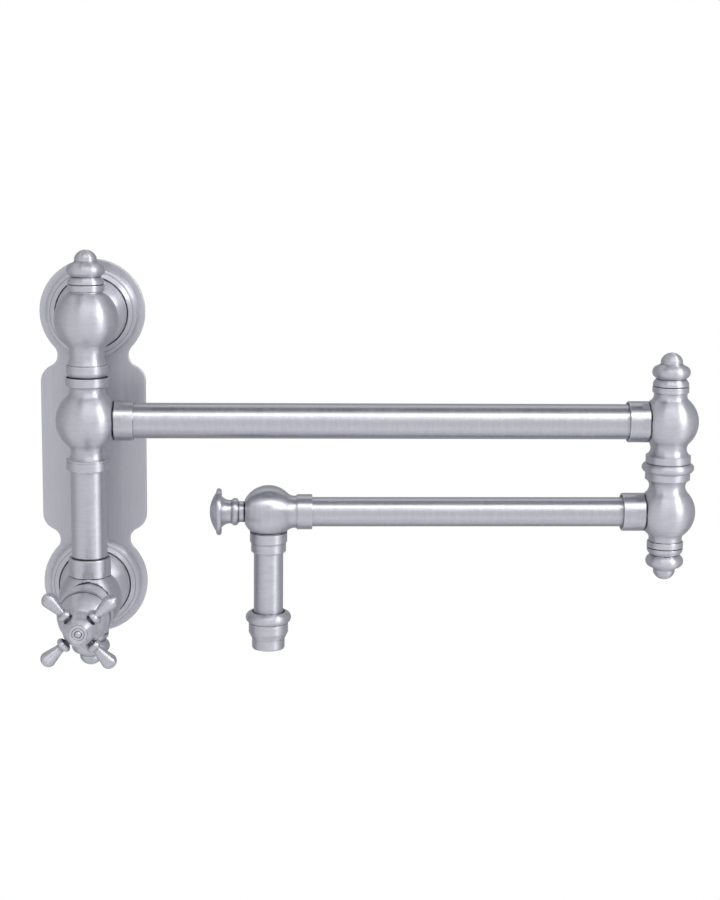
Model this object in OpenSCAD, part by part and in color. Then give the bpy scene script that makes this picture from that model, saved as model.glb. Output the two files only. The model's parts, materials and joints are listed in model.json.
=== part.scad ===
// Wall mounted pot filler: a folding double jointed spout on two wall posts
// A cross handle valve sits at the wall and a second shut-off at the spout end.
// Millimetres. X runs along the first arm, Y points into the wall and Z is up.
// The origin is the centre of the water inlet on the wall plane.

/* [Wall fixing] */
// Height from the water inlet up to the wall stud of the upper post
post_rise = 177; // [172:0.5:190]
// Distance from the wall to the swivel axis
axis_out = 47; // [46:0.5:60]
// Radius of the threaded hole for the half inch supply nipple
inlet_r = 9.3; // [8:0.1:10]
// Depth of the threaded hole for the supply nipple
inlet_depth = 16; // [12:0.5:20]
// Radius of the threaded hole for the wall stud
anchor_r = 4; // [3:0.1:5]
// Depth of the threaded hole for the wall stud
anchor_depth = 14; // [10:0.5:18]

/* [Backplate] */
// Thickness of the backplate
plate_t = 3; // [2:0.25:5]
// Radius of the two round ends of the backplate
plate_r = 33.5; // [32:0.5:36]
// Half of the width of the middle of the backplate
plate_side = 33.5; // [31:0.5:36]
// Half of the width of the two waists of the backplate
waist_side = 22.6; // [21:0.1:24]
// Radius of the hollow curve at each waist
waist_curve = 8; // [6:0.5:10]
// Radius of the shoulder above and below the middle
shoulder_curve = 11; // [8:0.5:14]

/* [Escutcheon rings] */
// Outer radius of the ring round each post
ring_r = 29.4; // [27:0.1:32]
// Radius of the hole through the ring
ring_hole_r = 23; // [22.8:0.1:25]
// Thickness of the straight rim of the ring
ring_rim_t = 3.4; // [2:0.1:5]
// Width of the outer slope, from the rim to the crest
ring_slope_w = 2.9; // [2:0.1:4]
// Height of the crest above the rim
ring_crest_up = 3.6; // [2:0.1:4.5]
// Height of the inner edge above the crest
ring_edge_up = 1.4; // [0.6:0.1:1.6]

/* [Wall posts] */
// Radius of the shank that passes through the backplate
shank_r = 12; // [11:0.1:13]
// Radius of the bell at the foot of each post
bell_r = 22.4; // [20:0.1:22.6]
// Length of the straight part of the bell
bell_straight = 9; // [7:0.5:10]
// Radius of the rounded shoulder of the bell
bell_round = 16; // [12:0.5:17]
// Radius of the neck between the bell and the ball
post_neck_r = 12.5; // [11:0.1:14]

/* [Balls and arms] */
// Radius of the balls on the wall side
hub_ball_r = 19.9; // [19:0.1:21]
// Radius of the two balls at the elbow
elbow_ball_r = 18.3; // [17.8:0.1:19]
// Radius of the ball at the spout end
spout_ball_r = 16.8; // [16.2:0.1:17.4]
// Length of the first arm between its two upright axes
arm1_len = 365; // [250:1:450]
// Length of the second arm between its two upright axes
arm2_len = 252.5; // [180:0.5:300]
// Distance from the wall stud of the upper post down to the first arm
arm1_drop = 63; // [61.5:0.5:70]
// Distance from the first arm down to the second arm
arm2_drop = 58; // [56:0.5:64]
// Outer diameter of the riser and of the first arm
tube1_d = 22.2; // [21:0.1:23]
// Wall of the riser and of the first arm
tube1_wall = 1.4; // [1:0.1:2]
// Outer diameter of the second arm and of the spout
tube2_d = 18.6; // [17:0.1:19]
// Wall of the second arm and of the spout
tube2_wall = 1.2; // [0.8:0.1:1.6]

/* [Swivels] */
// Radius of the collars where the post meets the arm hub
swivel_r = 13.4; // [12.6:0.1:14.4]
// Height of the flat collar on top of the arm hub
hub_collar_t = 5; // [4:0.1:6]
// Distance from the first arm up to the top of the arm hub
hub_top = 26; // [25:0.1:28]
// Distance from the first arm down to the foot of the arm hub
hub_drop = 30.8; // [29:0.1:33]
// Radius of the pin that carries the arm hub
pivot_r = 5; // [4:0.1:5.6]
// Wall of the bush round the pin
bush_wall = 1.5; // [1:0.1:1.8]
// Radius of the spigot at the foot of the riser
spigot_r = 9; // [8.4:0.1:9.2]
// Height of the top of the gland nut above the water inlet
gland_top = 26.8; // [25:0.1:29]
// Radius of the hollow spindle in the elbow
spindle_r = 6.5; // [6:0.1:7]
// Bore of the hollow spindle, as a radius
spindle_bore_r = 4; // [3:0.1:4.4]
// Radial clearance of every turning pin and stem
run_gap = 0.05; // [0.03:0.01:0.08]
// Gap between pieces that turn past each other
turn_gap = 0.3; // [0.3:0.05:0.5]
// Gap between fixed pieces that fit in one another
fit_gap = 0.1; // [0.05:0.01:0.15]

/* [Elbow] */
// Radius of the collars at the elbow
elbow_collar_r = 14.2; // [13.2:0.1:15]
// Height of each collar at the elbow
elbow_collar_t = 4.6; // [4:0.1:5.4]
// Radius of the bead ring between the collars
bead_ring_r = 16.5; // [15.5:0.1:18]
// Height of the bead ring
bead_ring_t = 5.8; // [5:0.1:7]
// Radius of the neck between each ball and its collar
elbow_neck_r = 11.4; // [10.8:0.1:12.4]

/* [Finials] */
// Radius of the ring under each finial
finial_base_r = 11.4; // [10.8:0.1:12]
// Radius of the bulge of each finial
finial_r = 12; // [11.2:0.1:13]
// Height of each finial above its seat
finial_h = 21.4; // [20:0.1:24]
// Height of the seat of the finial above the top of a wall side ball
wall_seat_rise = 1.7; // [1.4:0.1:3]
// Height of the seat of the finial above the top of an elbow ball
elbow_seat_rise = 4.3; // [3.4:0.1:6]
// Radius of the threaded stud of each finial
stud_r = 5; // [4:0.1:5.4]

/* [Coupling nuts] */
// Radius of the nut at the wall end of the first arm
nut1_in_r = 12.5; // [12.4:0.1:13]
// Radius of the nut at the elbow end of the first arm
nut1_out_r = 13; // [12.6:0.1:13.4]
// Radius of the nut on the second arm
nut2_r = 12.1; // [11:0.1:12.6]
// Radius of the gland nut at the foot of the riser
gland_r = 13.2; // [12.6:0.1:14]
// Depth that each arm tube enters its nut
tube_entry = 4; // [3:0.1:5]

/* [Wall valve] */
// Radius of the neck that carries the bonnet
bonnet_neck_r = 13; // [12.4:0.1:13.4]
// Distance from the swivel axis to the end of that neck
bonnet_neck_out = 30; // [28:0.1:32]
// Greatest radius of the barrel of the bonnet
barrel_r = 17.2; // [16.8:0.1:18]
// Radius of the long curve along the barrel
barrel_curve = 40; // [34:1:60]
// Length of the barrel of the bonnet
barrel_len = 19.2; // [17:0.1:21]
// Radius of the dome of the bonnet
dome_r = 16.3; // [15.8:0.1:16.6]
// Distance from the barrel of the bonnet to its front end
dome_len = 15.7; // [14:0.1:18]
// Radius of the ceramic cartridge
cartridge_r = 8.9; // [8.2:0.1:9]
// Radius of the valve stem
stem_r = 4; // [3.4:0.1:4.4]

/* [Cross handle] */
// Greatest radius of the handle hub
handle_hub_r = 10.5; // [10:0.1:11]
// Radius of the curve of the egg shaped hub
handle_curve = 16.5; // [16:0.5:20]
// Distance from the front end of the bonnet to the centre line of the spokes
spoke_ahead = 14.2; // [13:0.1:15]
// Distance from the handle's axis to the tip of each spoke
spoke_tip = 30; // [26:0.5:36]
// Radius of the rounded end of each spoke
spoke_end_r = 4.9; // [4:0.1:5.4]
// Radius of the waist of each spoke
spoke_waist_r = 2.65; // [2.3:0.05:3]
// Radius of the bead at the root of each spoke
spoke_bead_r = 4.7; // [4:0.1:5.2]
// Angle of the first spoke above the horizontal
spoke_angle = 43; // [0:1:90]
// Radius of the index button
button_r = 3.6; // [3.2:0.1:4]

/* [Spout] */
// Distance from the second arm down to the outlet
spout_drop = 88.5; // [80:0.5:110]
// Radius of the nut under the spout ball
spout_nut_r = 11.8; // [11.6:0.1:12.4]
// Radius of the bead on the aerator housing
aerator_bead_r = 14.4; // [13.6:0.1:15.4]
// Radius of the body of the aerator housing
aerator_body_r = 12.5; // [12:0.1:13.2]
// Radius of the end of the aerator housing
aerator_end_r = 10.4; // [10.2:0.1:11]
// Length of the aerator housing
aerator_len = 24; // [22:0.5:27]
// Radius of the collar where the second arm enters the spout ball
arm2_collar_r = 11.1; // [10.6:0.1:11.8]

/* [Spout knob] */
// Radius of the rim of the knob
knob_r = 14.8; // [13:0.1:17]
// Length of the knob
knob_len = 21.6; // [19:0.1:25]
// Distance from the spout's axis to the flat that the knob faces
knob_face = 14.9; // [14.6:0.1:15.2]
// Radius of the neck of the knob
knob_neck_r = 6.6; // [6:0.1:7.2]
// Radius of the spout valve's cartridge
knob_cartridge_r = 6.4; // [5.8:0.1:6.8]
// Radius of the stem under the knob
knob_stem_r = 3; // [2.6:0.1:3.4]

/* [Hidden] */
$fn = 72;

// Overrun of every cut past the face that it opens
over = 1;
// Number of sides of every hexagon
sides = 6;
// Share of a bead's height that its flat core takes
bead_share = 0.9;
// Number of steps in each curve of the backplate and in the slope of the rings
curve_steps = 14;
slope_steps = 4;
// Rounding of the inner edge of the rings
ring_edge_round = 0.6;

// Finishes as the eye sees them
steel = [0.68, 0.68, 0.71];
brass = [0.78, 0.66, 0.38];
ceramic = [0.93, 0.92, 0.88];
rubber = [0.12, 0.12, 0.13];
polymer = [0.9, 0.9, 0.86];

// Tube radii and bores
tube1_r = tube1_d / 2;
tube2_r = tube2_d / 2;
tube1_bore = tube1_r - tube1_wall;
tube2_bore = tube2_r - tube2_wall;

// Waterways drilled through the balls of the arms
way1_r = 6;
way2_r = 5.2;

// Heights of the two arms above the water inlet
arm1_z = post_rise - arm1_drop;
arm2_z = arm1_z - arm2_drop;

// Seats of the finials above the centres of the balls
wall_seat = hub_ball_r + wall_seat_rise;
elbow_seat = elbow_ball_r + elbow_seat_rise;

// Arm hub and upper post
pivot_gap = 1.9;
washer_t = 1.6;
washer_inset = 2;
hub_neck_r = 10.8;
hub_throat = 6.7;
hub_flare = 2.6;
hub_foot_r = 13.6;
hub_foot_t = 6.6;
hub_foot_flare = 4.9;
hub_line = 0.4;
hub_line_in = 1;
hub_top_z = arm1_z + hub_top;
hub_foot_z = arm1_z - hub_drop;
post_foot_z = hub_top_z + pivot_gap;
post_collar_t = 6.2;
post_step_r = 12.4;
post_step_t = 1.7;
post_flare = 10.3;
post_throat = 8.6;
seat_ring_t = 3.8;
seat_neck_r = 10.5;
seat_throat = 0.9;
elbow_seat_throat = 3.5;
pin_up = 12;
pin_down = 11;
bush_r = pivot_r + run_gap + bush_wall;

// Riser and its socket
riser_gap = 0.5;
spigot_down = 12.5;
spigot_up = 12;
spigot_bore = 6.2;
boss_r = 10.9;
gland_lip_t = 1.3;
gland_len = 14.2;
riser_foot_z = gland_top + riser_gap;
boss_top_z = gland_top - gland_lip_t;
socket_bottom_z = riser_foot_z - spigot_down - riser_gap;
oring_r = 0.9;
oring_gap = 0.04;
groove_share = 1.25;
oring_pitch = 4.5;

// Coupling nuts: part of the length has wrench flats
flat_share = 0.965;
flats_share = 0.46;
nut1_in_from = 15.2;
nut1_in_to = 28.4;
nut1_out_from = 11.8;
nut1_out_to = 26.7;
nut2_from = 13.6;
nut2_to = 28.7;
nipple1_r = 8.8;
nipple2_r = 7.6;
nut_gap = 0.5;

// Elbow
elbow_throat = 6.7;
elbow_flare = 5.1;
elbow_top_face = arm2_z + (arm1_z - arm2_z + bead_ring_t) / 2 + turn_gap / 2;
elbow_low_face = elbow_top_face - bead_ring_t - turn_gap;
spindle_thread_r = 8;
spindle_thread_len = 14;
spindle_nut_t = 5;
thrust_t = 1.5;
chamber_r = 8.6;
spindle_nut_r = 8.2;
shoulder_up = 10;
shoulder_z = arm2_z + shoulder_up;
plug_r = 8.5;
plug_len = 7;
stud_len = 7;
finial_foot = 0.5;
finial_foot_inset = 1.2;
finial_ring_share = 0.175;
finial_groove_share = 0.24;
finial_groove_inset = 2;
finial_bulge_share = 0.425;
finial_bulge_t_share = 0.385;
finial_tip_share = 0.57;
finial_dome_t = 4.8;

// Wall valve: distances forward from the swivel axis
chamber_back = -4;
seal_t = 1.6;
disc_t = 2.2;
disc_inset = 1;
disc_r = cartridge_r - disc_inset;
disc_gap = 0.05;
inlet_way_r = 5.5;
stem_flange_t = 2.2;
window_w = 7;
window_l = 5;
cartridge_nut_t = 4.4;
cartridge_nut_r = 11.4;
bonnet_lap = 2.6;
bonnet_back = bonnet_neck_out - bonnet_lap;
bonnet_wall = 2.2;
bonnet_groove_r = 15.2;
bonnet_groove_t = 1;
barrel_out = bonnet_back + barrel_len;
dome_back = 2.6;
dome_centre = barrel_out - dome_back;
dome_end_r = 7.4;
dome_out = barrel_out + dome_len;
spoke_out = dome_out + spoke_ahead;
drive_r = 3.4;
hub_centre_ahead = 10.2;
hub_front_ahead = 21.7;
handle_centre = dome_out + hub_centre_ahead;
handle_front = dome_out + hub_front_ahead;
rim_t = 0.8;
rim_r = 5.5;
button_well = 2.6;
screw_head_r = 3;
screw_head_t = 2;
screw_r = 1.6;
screw_len = 12;
screw_clear = 1;
spoke_stud_r = 2.2;
spoke_stud_len = 4;
spoke_root = 10.6;
spoke_bead_t = 4.2;
spoke_flare_share = 0.87;

// Spout
spout_neck_r = 10.1;
arm2_collar_from = 18;
arm2_collar_to = 27.4;
arm2_seat = 6;
spout_throat = 7.2;
spout_flare = 2.2;
spout_boss_r = 8;
spout_boss_down = 18;
spout_boss_z = arm2_z - spout_boss_down;
spout_nut_top = 12.8;
spout_nut_t = 6;
spout_step_r = 11.05;
spout_step_t = 5.2;
spout_nut_chamfer = 1;
outlet_z = arm2_z - spout_drop;
aerator_top_z = outlet_z + aerator_len;
aerator_bead_t = 7.4;
aerator_tube_entry = 10.5;
aerator_taper_from_share = 0.45;
aerator_taper_to_share = 0.27;
aerator_lip_t = 1;
aerator_lip_r = 8.4;
aerator_mouth = 0.5;
gasket_t = 1.6;
jet_r = 1.1;
jet_ring_r = 5.6;
jet_count = 10;
inner_jet_count = 5;

// Spout valve: distances from the spout's axis towards the knob
knob_back = -8;
knob_seal_t = 1.2;
knob_disc_t = 1.9;
knob_disc_inset = 0.7;
knob_disc_r = knob_cartridge_r - knob_disc_inset;
knob_gap = 0.5;
knob_window_l = 6;
knob_window_w = 7;
knob_drive_r = 2.4;
knob_drive_len = 9;
knob_rim_share = 0.73;
knob_rim_t = 3.4;
knob_waist_share = 0.4;
knob_waist_r = 7.4;
knob_bead_share = 0.262;
knob_bead_r = 8.7;
knob_bead_t = 4.6;
knob_dome_curve = 20.5;

// Placing frames
module wall_axis(z) {
    translate([0, 0, z]) rotate([90, 0, 0]) children();
}
module swivel_axis(z) {
    translate([0, -axis_out, z]) children();
}
module elbow_axis(z) {
    translate([arm1_len, -axis_out, z]) children();
}
module spout_axis(z) {
    translate([arm1_len - arm2_len, -axis_out, z]) children();
}
module facing_out() {
    rotate([90, 0, 0]) children();
}
module facing_right() {
    rotate([0, 90, 0]) children();
}
module facing_left() {
    rotate([0, -90, 0]) children();
}

// Half outlines for the lathe: radius across, height up
module band(r, from, to) {
    translate([0, from]) square([r, to - from]);
}
module half_ball(r, at) {
    intersection() {
        translate([0, at]) circle(r);
        band(r + over, at - r - over, at + r + over);
    }
}
module half_bead(r, at, t) {
    band(r - t / 2, at - t / 2 * bead_share, at + t / 2 * bead_share);
    translate([r - t / 2, at]) circle(t / 2);
}
module cove(r, at, curve) {
    translate([r + curve, at]) circle(curve);
}
// Hollow curve from a ball up to a thinner neck
module throat(ball, neck, curve) {
    reach = ball + curve - fit_gap / 2;
    across = neck + curve;
    up = sqrt(pow(reach, 2) - pow(across, 2));
    difference() {
        polygon([[0, 0], [across * ball / reach, up * ball / reach], [across, up], [0, up]]);
        cove(neck, up, curve);
    }
}
// Neck that spreads in a hollow curve to an edge at its top
module flare(neck, edge, curve, top) {
    drop = sqrt(pow(curve, 2) - pow(curve - edge + neck, 2));
    band(neck, 0, top - drop + fit_gap);
    difference() {
        band(edge, top - drop, top + fit_gap);
        cove(neck, top - drop, curve);
    }
}
module turn() {
    rotate_extrude() children();
}
module bore(r, from, to) {
    translate([0, 0, from]) cylinder(r = r, h = to - from);
}
module o_ring(r, at) {
    turn() translate([r - oring_r, at]) circle(oring_r, $fn = 24);
}
module o_ring_groove(r, at) {
    difference() {
        band(r + over, at - oring_r * groove_share, at + oring_r * groove_share);
        band(r - oring_r * 2, at - oring_r * 2, at + oring_r * 2);
    }
}

// Backplate
function arc(c, r, a0, a1) = [for (i = [0:curve_steps])
    c + r * [cos(a0 + (a1 - a0) * i / curve_steps), sin(a0 + (a1 - a0) * i / curve_steps)]];
waist_x = waist_side + waist_curve;
waist_z = sqrt(pow(plate_r + waist_curve, 2) - pow(waist_x, 2));
waist_a = atan2(waist_z, waist_x);
shoulder_x = plate_side - shoulder_curve;
shoulder_z2 = waist_z + sqrt(pow(waist_curve + shoulder_curve, 2) - pow(waist_x - shoulder_x, 2));
shoulder_a = atan2(shoulder_z2 - waist_z, shoulder_x - waist_x);
plate_quarter = concat(
    arc([0, 0], plate_r, -90, waist_a),
    [for (p = arc([waist_x, waist_z], waist_curve, waist_a + 180, shoulder_a)) p],
    arc([shoulder_x, shoulder_z2], shoulder_curve, shoulder_a - 180, 0));
plate_half = concat(plate_quarter,
    [for (i = [len(plate_quarter) - 1:-1:0]) [plate_quarter[i][0], post_rise - plate_quarter[i][1]]]);
plate_outline = concat(plate_half,
    [for (i = [len(plate_half) - 2:-1:1]) [-plate_half[i][0], plate_half[i][1]]]);

module backplate() {
    color(steel) facing_out() linear_extrude(plate_t) difference() {
        polygon(plate_outline);
        circle(shank_r + fit_gap);
        translate([0, post_rise]) circle(shank_r + fit_gap);
    }
}

// Ring with a straight rim, a rounded slope up to a crest and a flatter slope to the inner edge
module escutcheon(z) {
    rim = plate_t + ring_rim_t;
    crest = rim + ring_crest_up;
    crest_r = ring_r - ring_slope_w;
    slope = [for (i = [0:slope_steps])
        [crest_r + ring_slope_w * cos(90 * i / slope_steps), rim + ring_crest_up * sin(90 * i / slope_steps)]];
    color(steel) wall_axis(z) turn() polygon(concat([[ring_hole_r, plate_t], [ring_r, plate_t]], slope,
        [[ring_hole_r + ring_edge_round, crest + ring_edge_up], [ring_hole_r, crest + ring_edge_up / 2]]));
}
module upper_escutcheon() {
    escutcheon(post_rise);
}
module lower_escutcheon() {
    escutcheon(0);
}

// The shank, bell and neck that both wall posts share
module post_stem() {
    bell_front = plate_t + bell_straight;
    turn() {
        band(shank_r, 0, plate_t + over);
        band(bell_r, plate_t, bell_front);
        intersection() {
            translate([bell_r - bell_round, bell_front - fit_gap]) circle(bell_round);
            band(bell_r - fit_gap, bell_front - over, bell_front + bell_round + over);
        }
        band(post_neck_r, plate_t, axis_out - over);
    }
}
// Neck and ring that a finial stands on, above the centre of a ball
module finial_seat(ball, seat, curve) {
    throat(ball, seat_neck_r, curve);
    band(seat_neck_r, 0, seat - seat_ring_t / 2);
    band(finial_base_r + fit_gap, seat - seat_ring_t, seat);
}

module upper_post() {
    color(steel) difference() {
        union() {
            wall_axis(post_rise) post_stem();
            swivel_axis(0) turn() {
                half_ball(hub_ball_r, post_rise);
                translate([0, post_rise]) finial_seat(hub_ball_r, wall_seat, seat_throat);
                translate([0, post_rise]) mirror([0, 1]) post_foot(post_rise - post_foot_z);
            }
        }
        wall_axis(post_rise) bore(anchor_r, -over, anchor_depth);
        swivel_axis(post_rise) bore(stud_r + fit_gap, wall_seat - stud_len - over, wall_seat + over);
        swivel_axis(post_foot_z) bore(pivot_r + fit_gap, -over, pin_up + fit_gap);
    }
}

// Neck, step and collar between the ball of the upper post and the swivel
module post_foot(drop) {
    step = drop - post_collar_t - post_step_t;
    throat(hub_ball_r, hub_neck_r, post_throat);
    flare(hub_neck_r, post_step_r, post_flare, step);
    band(post_step_r, step, drop - over);
    band(swivel_r, drop - post_collar_t, drop);
}

// Finial: base ring, groove, bulge and domed tip above its seat
module finial(stud, stud_l) {
    foot_r = finial_base_r - finial_foot_inset;
    ring_z = finial_h * finial_ring_share;
    groove_z = finial_h * finial_groove_share;
    tip_r = finial_r * finial_tip_share;
    dome_curve = (pow(tip_r, 2) + pow(finial_dome_t, 2)) / (2 * finial_dome_t);
    turn() band(stud, -stud_l, ring_z);
    turn() polygon([[0, 0], [foot_r, 0], [foot_r, finial_foot], [finial_base_r, finial_foot],
        [finial_base_r, ring_z / 2], [foot_r, ring_z],
        [finial_base_r - finial_groove_inset, groove_z], [0, groove_z]]);
    turn() half_bead(finial_r, finial_h * finial_bulge_share, finial_h * finial_bulge_t_share);
    turn() {
        band(tip_r, ring_z, finial_h - finial_dome_t);
        intersection() {
            translate([0, finial_h - dome_curve]) circle(dome_curve);
            band(tip_r - fit_gap, ring_z + over * 2, finial_h + over);
        }
    }
}
module post_finial() {
    color(steel) swivel_axis(post_rise + wall_seat) finial(stud_r, stud_len);
}
module valve_finial() {
    color(steel) swivel_axis(-wall_seat) mirror([0, 0, 1]) finial(stud_r, stud_len);
}
module elbow_upper_finial() {
    color(steel) elbow_axis(arm1_z + elbow_seat) finial(stud_r, stud_len);
}
module elbow_lower_finial() {
    color(steel) elbow_axis(arm2_z - elbow_seat) mirror([0, 0, 1]) finial(plug_r, plug_len);
}

// Pin that hangs from the post and carries the arm hub
module pivot_pin() {
    color(steel) swivel_axis(0) turn()
        band(pivot_r, hub_top_z - pin_down, post_foot_z + pin_up);
}
module pivot_bush() {
    color(polymer) swivel_axis(0) turn() difference() {
        band(bush_r, hub_top_z - pin_down - over, hub_top_z);
        band(pivot_r + run_gap, hub_top_z - pin_down - over * 2, hub_top_z + over);
    }
}
module pivot_washer() {
    color(polymer) swivel_axis(0) turn() difference() {
        band(swivel_r - washer_inset, hub_top_z, hub_top_z + washer_t);
        band(pivot_r + fit_gap, hub_top_z - over, hub_top_z + washer_t + over);
    }
}

// Body of the wall valve with its inlet, riser socket and bonnet neck
module valve_body() {
    color(steel) difference() {
        union() {
            wall_axis(0) post_stem();
            swivel_axis(0) facing_out() bore(bonnet_neck_r, 0, bonnet_neck_out);
            swivel_axis(0) turn() {
                half_ball(hub_ball_r, 0);
                mirror([0, 1]) finial_seat(hub_ball_r, wall_seat, seat_throat);
                band(boss_r, 0, boss_top_z - fit_gap);
            }
        }
        wall_axis(0) bore(inlet_r, -over, inlet_depth);
        wall_axis(0) bore(inlet_way_r, 0, axis_out);
        swivel_axis(0) facing_out() bore(cartridge_r + fit_gap, chamber_back, bonnet_neck_out + over);
        swivel_axis(0) bore(way1_r, 0, boss_top_z);
        swivel_axis(0) bore(spigot_r + run_gap, socket_bottom_z, boss_top_z + over);
        swivel_axis(0) bore(stud_r + fit_gap, -wall_seat - over, -wall_seat + stud_len + fit_gap);
    }
}
module riser_gland_nut() {
    color(steel) difference() {
        swivel_axis(0) nut_form(gland_r, gland_top - gland_len, gland_top);
        swivel_axis(0) bore(boss_r + fit_gap, 0, boss_top_z);
        swivel_axis(0) bore(spigot_r + fit_gap, 0, gland_top + over);
        swivel_axis(0) sphere(hub_ball_r + fit_gap);
    }
}
// A nut with wrench flats over the part of its length nearest the ball
module nut_form(r, from, to) {
    flats = (to - from) * flats_share;
    translate([0, 0, from]) intersection() {
        cylinder(r = r, h = flats + over);
        cylinder(r = r / cos(180 / sides) * flat_share, h = flats + over, $fn = sides);
    }
    bore(r, from + flats, to);
}

// Ceramic cartridge of the wall valve
module valve_parts() {
    swivel_axis(0) facing_out() children();
}
seal_front = chamber_back + seal_t;
fixed_front = seal_front + disc_t;
moving_front = fixed_front + disc_gap + disc_t;
flange_front = moving_front + disc_gap + stem_flange_t;
module valve_seat_seal() {
    color(rubber) valve_parts() turn() difference() {
        band(disc_r, chamber_back, seal_front);
        band(inlet_way_r, chamber_back - over, seal_front + over);
    }
}
module ported_disc(r, from, to, port) {
    difference() {
        bore(r, from, to);
        for (side = [-1, 1])
            translate([side * r / 2, 0, 0]) bore(port, from - over, to + over);
    }
}
module valve_fixed_disc() {
    color(ceramic) valve_parts() ported_disc(disc_r, seal_front, fixed_front, disc_r / 4);
}
module valve_moving_disc() {
    color(ceramic) valve_parts() rotate([0, 0, 90])
        ported_disc(disc_r - disc_gap, fixed_front + disc_gap, moving_front, disc_r / 4);
}
module valve_cartridge() {
    wide = flange_front + window_l + disc_gap;
    color(brass) valve_parts() difference() {
        bore(cartridge_r, seal_front, bonnet_neck_out);
        bore(disc_r + fit_gap, seal_front - over, wide);
        bore(stem_r + run_gap, 0, bonnet_neck_out + over);
        translate([-window_w / 2, -cartridge_r - over, flange_front])
            cube([window_w, (cartridge_r + over) * 2, window_l]);
    }
}
module valve_cartridge_nut() {
    color(brass) valve_parts() difference() {
        translate([0, 0, bonnet_neck_out]) cylinder(r = cartridge_nut_r, h = cartridge_nut_t, $fn = sides);
        bore(stem_r + turn_gap, bonnet_neck_out - over, bonnet_neck_out + cartridge_nut_t + over);
    }
}
stem_groove = (flange_front + bonnet_neck_out) / 2 + oring_pitch;
drive_from = dome_out + turn_gap;
drive_to = spoke_out - spoke_stud_r - screw_clear;
module valve_stem() {
    color(brass) valve_parts() union() {
        difference() {
            turn() difference() {
                union() {
                    band(disc_r - disc_gap, moving_front + disc_gap, flange_front);
                    band(stem_r, flange_front, drive_from);
                }
                o_ring_groove(stem_r, stem_groove);
            }
            bore(screw_r, drive_from - over, drive_from + over);
        }
        difference() {
            translate([0, 0, drive_from]) cylinder(r = drive_r, h = drive_to - drive_from, $fn = sides);
            bore(screw_r, drive_from - over, drive_to + over);
        }
    }
}
module valve_stem_oring() {
    color(rubber) valve_parts() o_ring(stem_r + run_gap - oring_gap, stem_groove);
}

// Bonnet: long rounded barrel, narrow groove and dome over the cartridge nut
module bonnet() {
    dome_curve = (pow(dome_r - dome_end_r, 2) + pow(dome_out - dome_centre, 2)) / (2 * (dome_r - dome_end_r));
    color(steel) valve_parts() turn() difference() {
        union() {
            intersection() {
                translate([barrel_r - barrel_curve, (bonnet_back + barrel_out) / 2]) circle(barrel_curve);
                band(barrel_r + over, bonnet_back, barrel_out);
            }
            band(bonnet_groove_r, barrel_out - over, barrel_out + bonnet_groove_t + over);
            intersection() {
                translate([dome_r - dome_curve, dome_centre]) circle(dome_curve);
                band(dome_r + over, barrel_out + bonnet_groove_t, dome_out);
            }
        }
        band(bonnet_neck_r + fit_gap, bonnet_back - over, bonnet_neck_out + cartridge_nut_t + over);
        intersection() {
            translate([dome_r - dome_curve, dome_centre]) circle(dome_curve - bonnet_wall);
            band(dome_r, bonnet_neck_out, dome_out - bonnet_wall);
        }
        band(stem_r + turn_gap, bonnet_back, dome_out + over);
    }
}

// Cross handle: egg shaped hub, four spokes, screw and index button
module handle_hub() {
    color(steel) valve_parts() difference() {
        turn() {
            intersection() {
                translate([handle_hub_r - handle_curve, handle_centre]) circle(handle_curve);
                band(handle_hub_r + over, drive_from, handle_front);
            }
            band(rim_r, handle_front - over, handle_front + rim_t);
        }
        translate([0, 0, drive_from - over])
            cylinder(r = drive_r + fit_gap, h = drive_to - drive_from + over, $fn = sides);
        bore(screw_r + fit_gap, drive_to - over, handle_front);
        bore(screw_head_r + fit_gap, spoke_out + spoke_stud_r + screw_clear, handle_front + over);
        bore(button_r + fit_gap, handle_front + rim_t - button_well, handle_front + over);
        for (i = [0:3]) spoke_frame(i) bore(spoke_stud_r + fit_gap, spoke_root - spoke_stud_len - fit_gap,
            spoke_root + over);
    }
}
module spoke_frame(i) {
    rotate([0, 0, spoke_angle + 90 * i]) translate([0, 0, spoke_out]) facing_right() children();
}
module handle_spoke(i) {
    bead_at = spoke_root + spoke_bead_t / 2;
    waist_at = spoke_root + spoke_bead_t;
    flare_at = spoke_tip * spoke_flare_share;
    color(steel) valve_parts() spoke_frame(i) turn() {
        band(spoke_stud_r, spoke_root - spoke_stud_len, bead_at);
        half_bead(spoke_bead_r, bead_at, spoke_bead_t);
        polygon([[0, bead_at], [spoke_waist_r, bead_at], [spoke_waist_r, waist_at + over],
            [spoke_end_r, flare_at], [0, flare_at]]);
        half_ball(spoke_end_r + fit_gap, spoke_tip - spoke_end_r - fit_gap);
    }
}
module handle_spoke_1() {
    handle_spoke(0);
}
module handle_spoke_2() {
    handle_spoke(1);
}
module handle_spoke_3() {
    handle_spoke(2);
}
module handle_spoke_4() {
    handle_spoke(3);
}
module handle_screw() {
    head_at = spoke_out + spoke_stud_r + screw_clear;
    color(steel) valve_parts() difference() {
        turn() {
            band(screw_r - fit_gap, head_at - screw_len, head_at);
            band(screw_head_r, head_at, head_at + screw_head_t);
        }
        translate([0, 0, head_at + screw_head_t / 2]) cylinder(r = screw_r, h = screw_head_t, $fn = sides);
    }
}
module index_button() {
    button_back = handle_front + rim_t - button_well;
    color(steel) valve_parts() turn() {
        band(button_r, button_back, handle_front + rim_t);
        intersection() {
            half_ball(button_r * 2, handle_front + rim_t * 2 - button_r * 2);
            band(button_r - fit_gap, button_back, handle_front + rim_t * 3);
        }
    }
}

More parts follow.
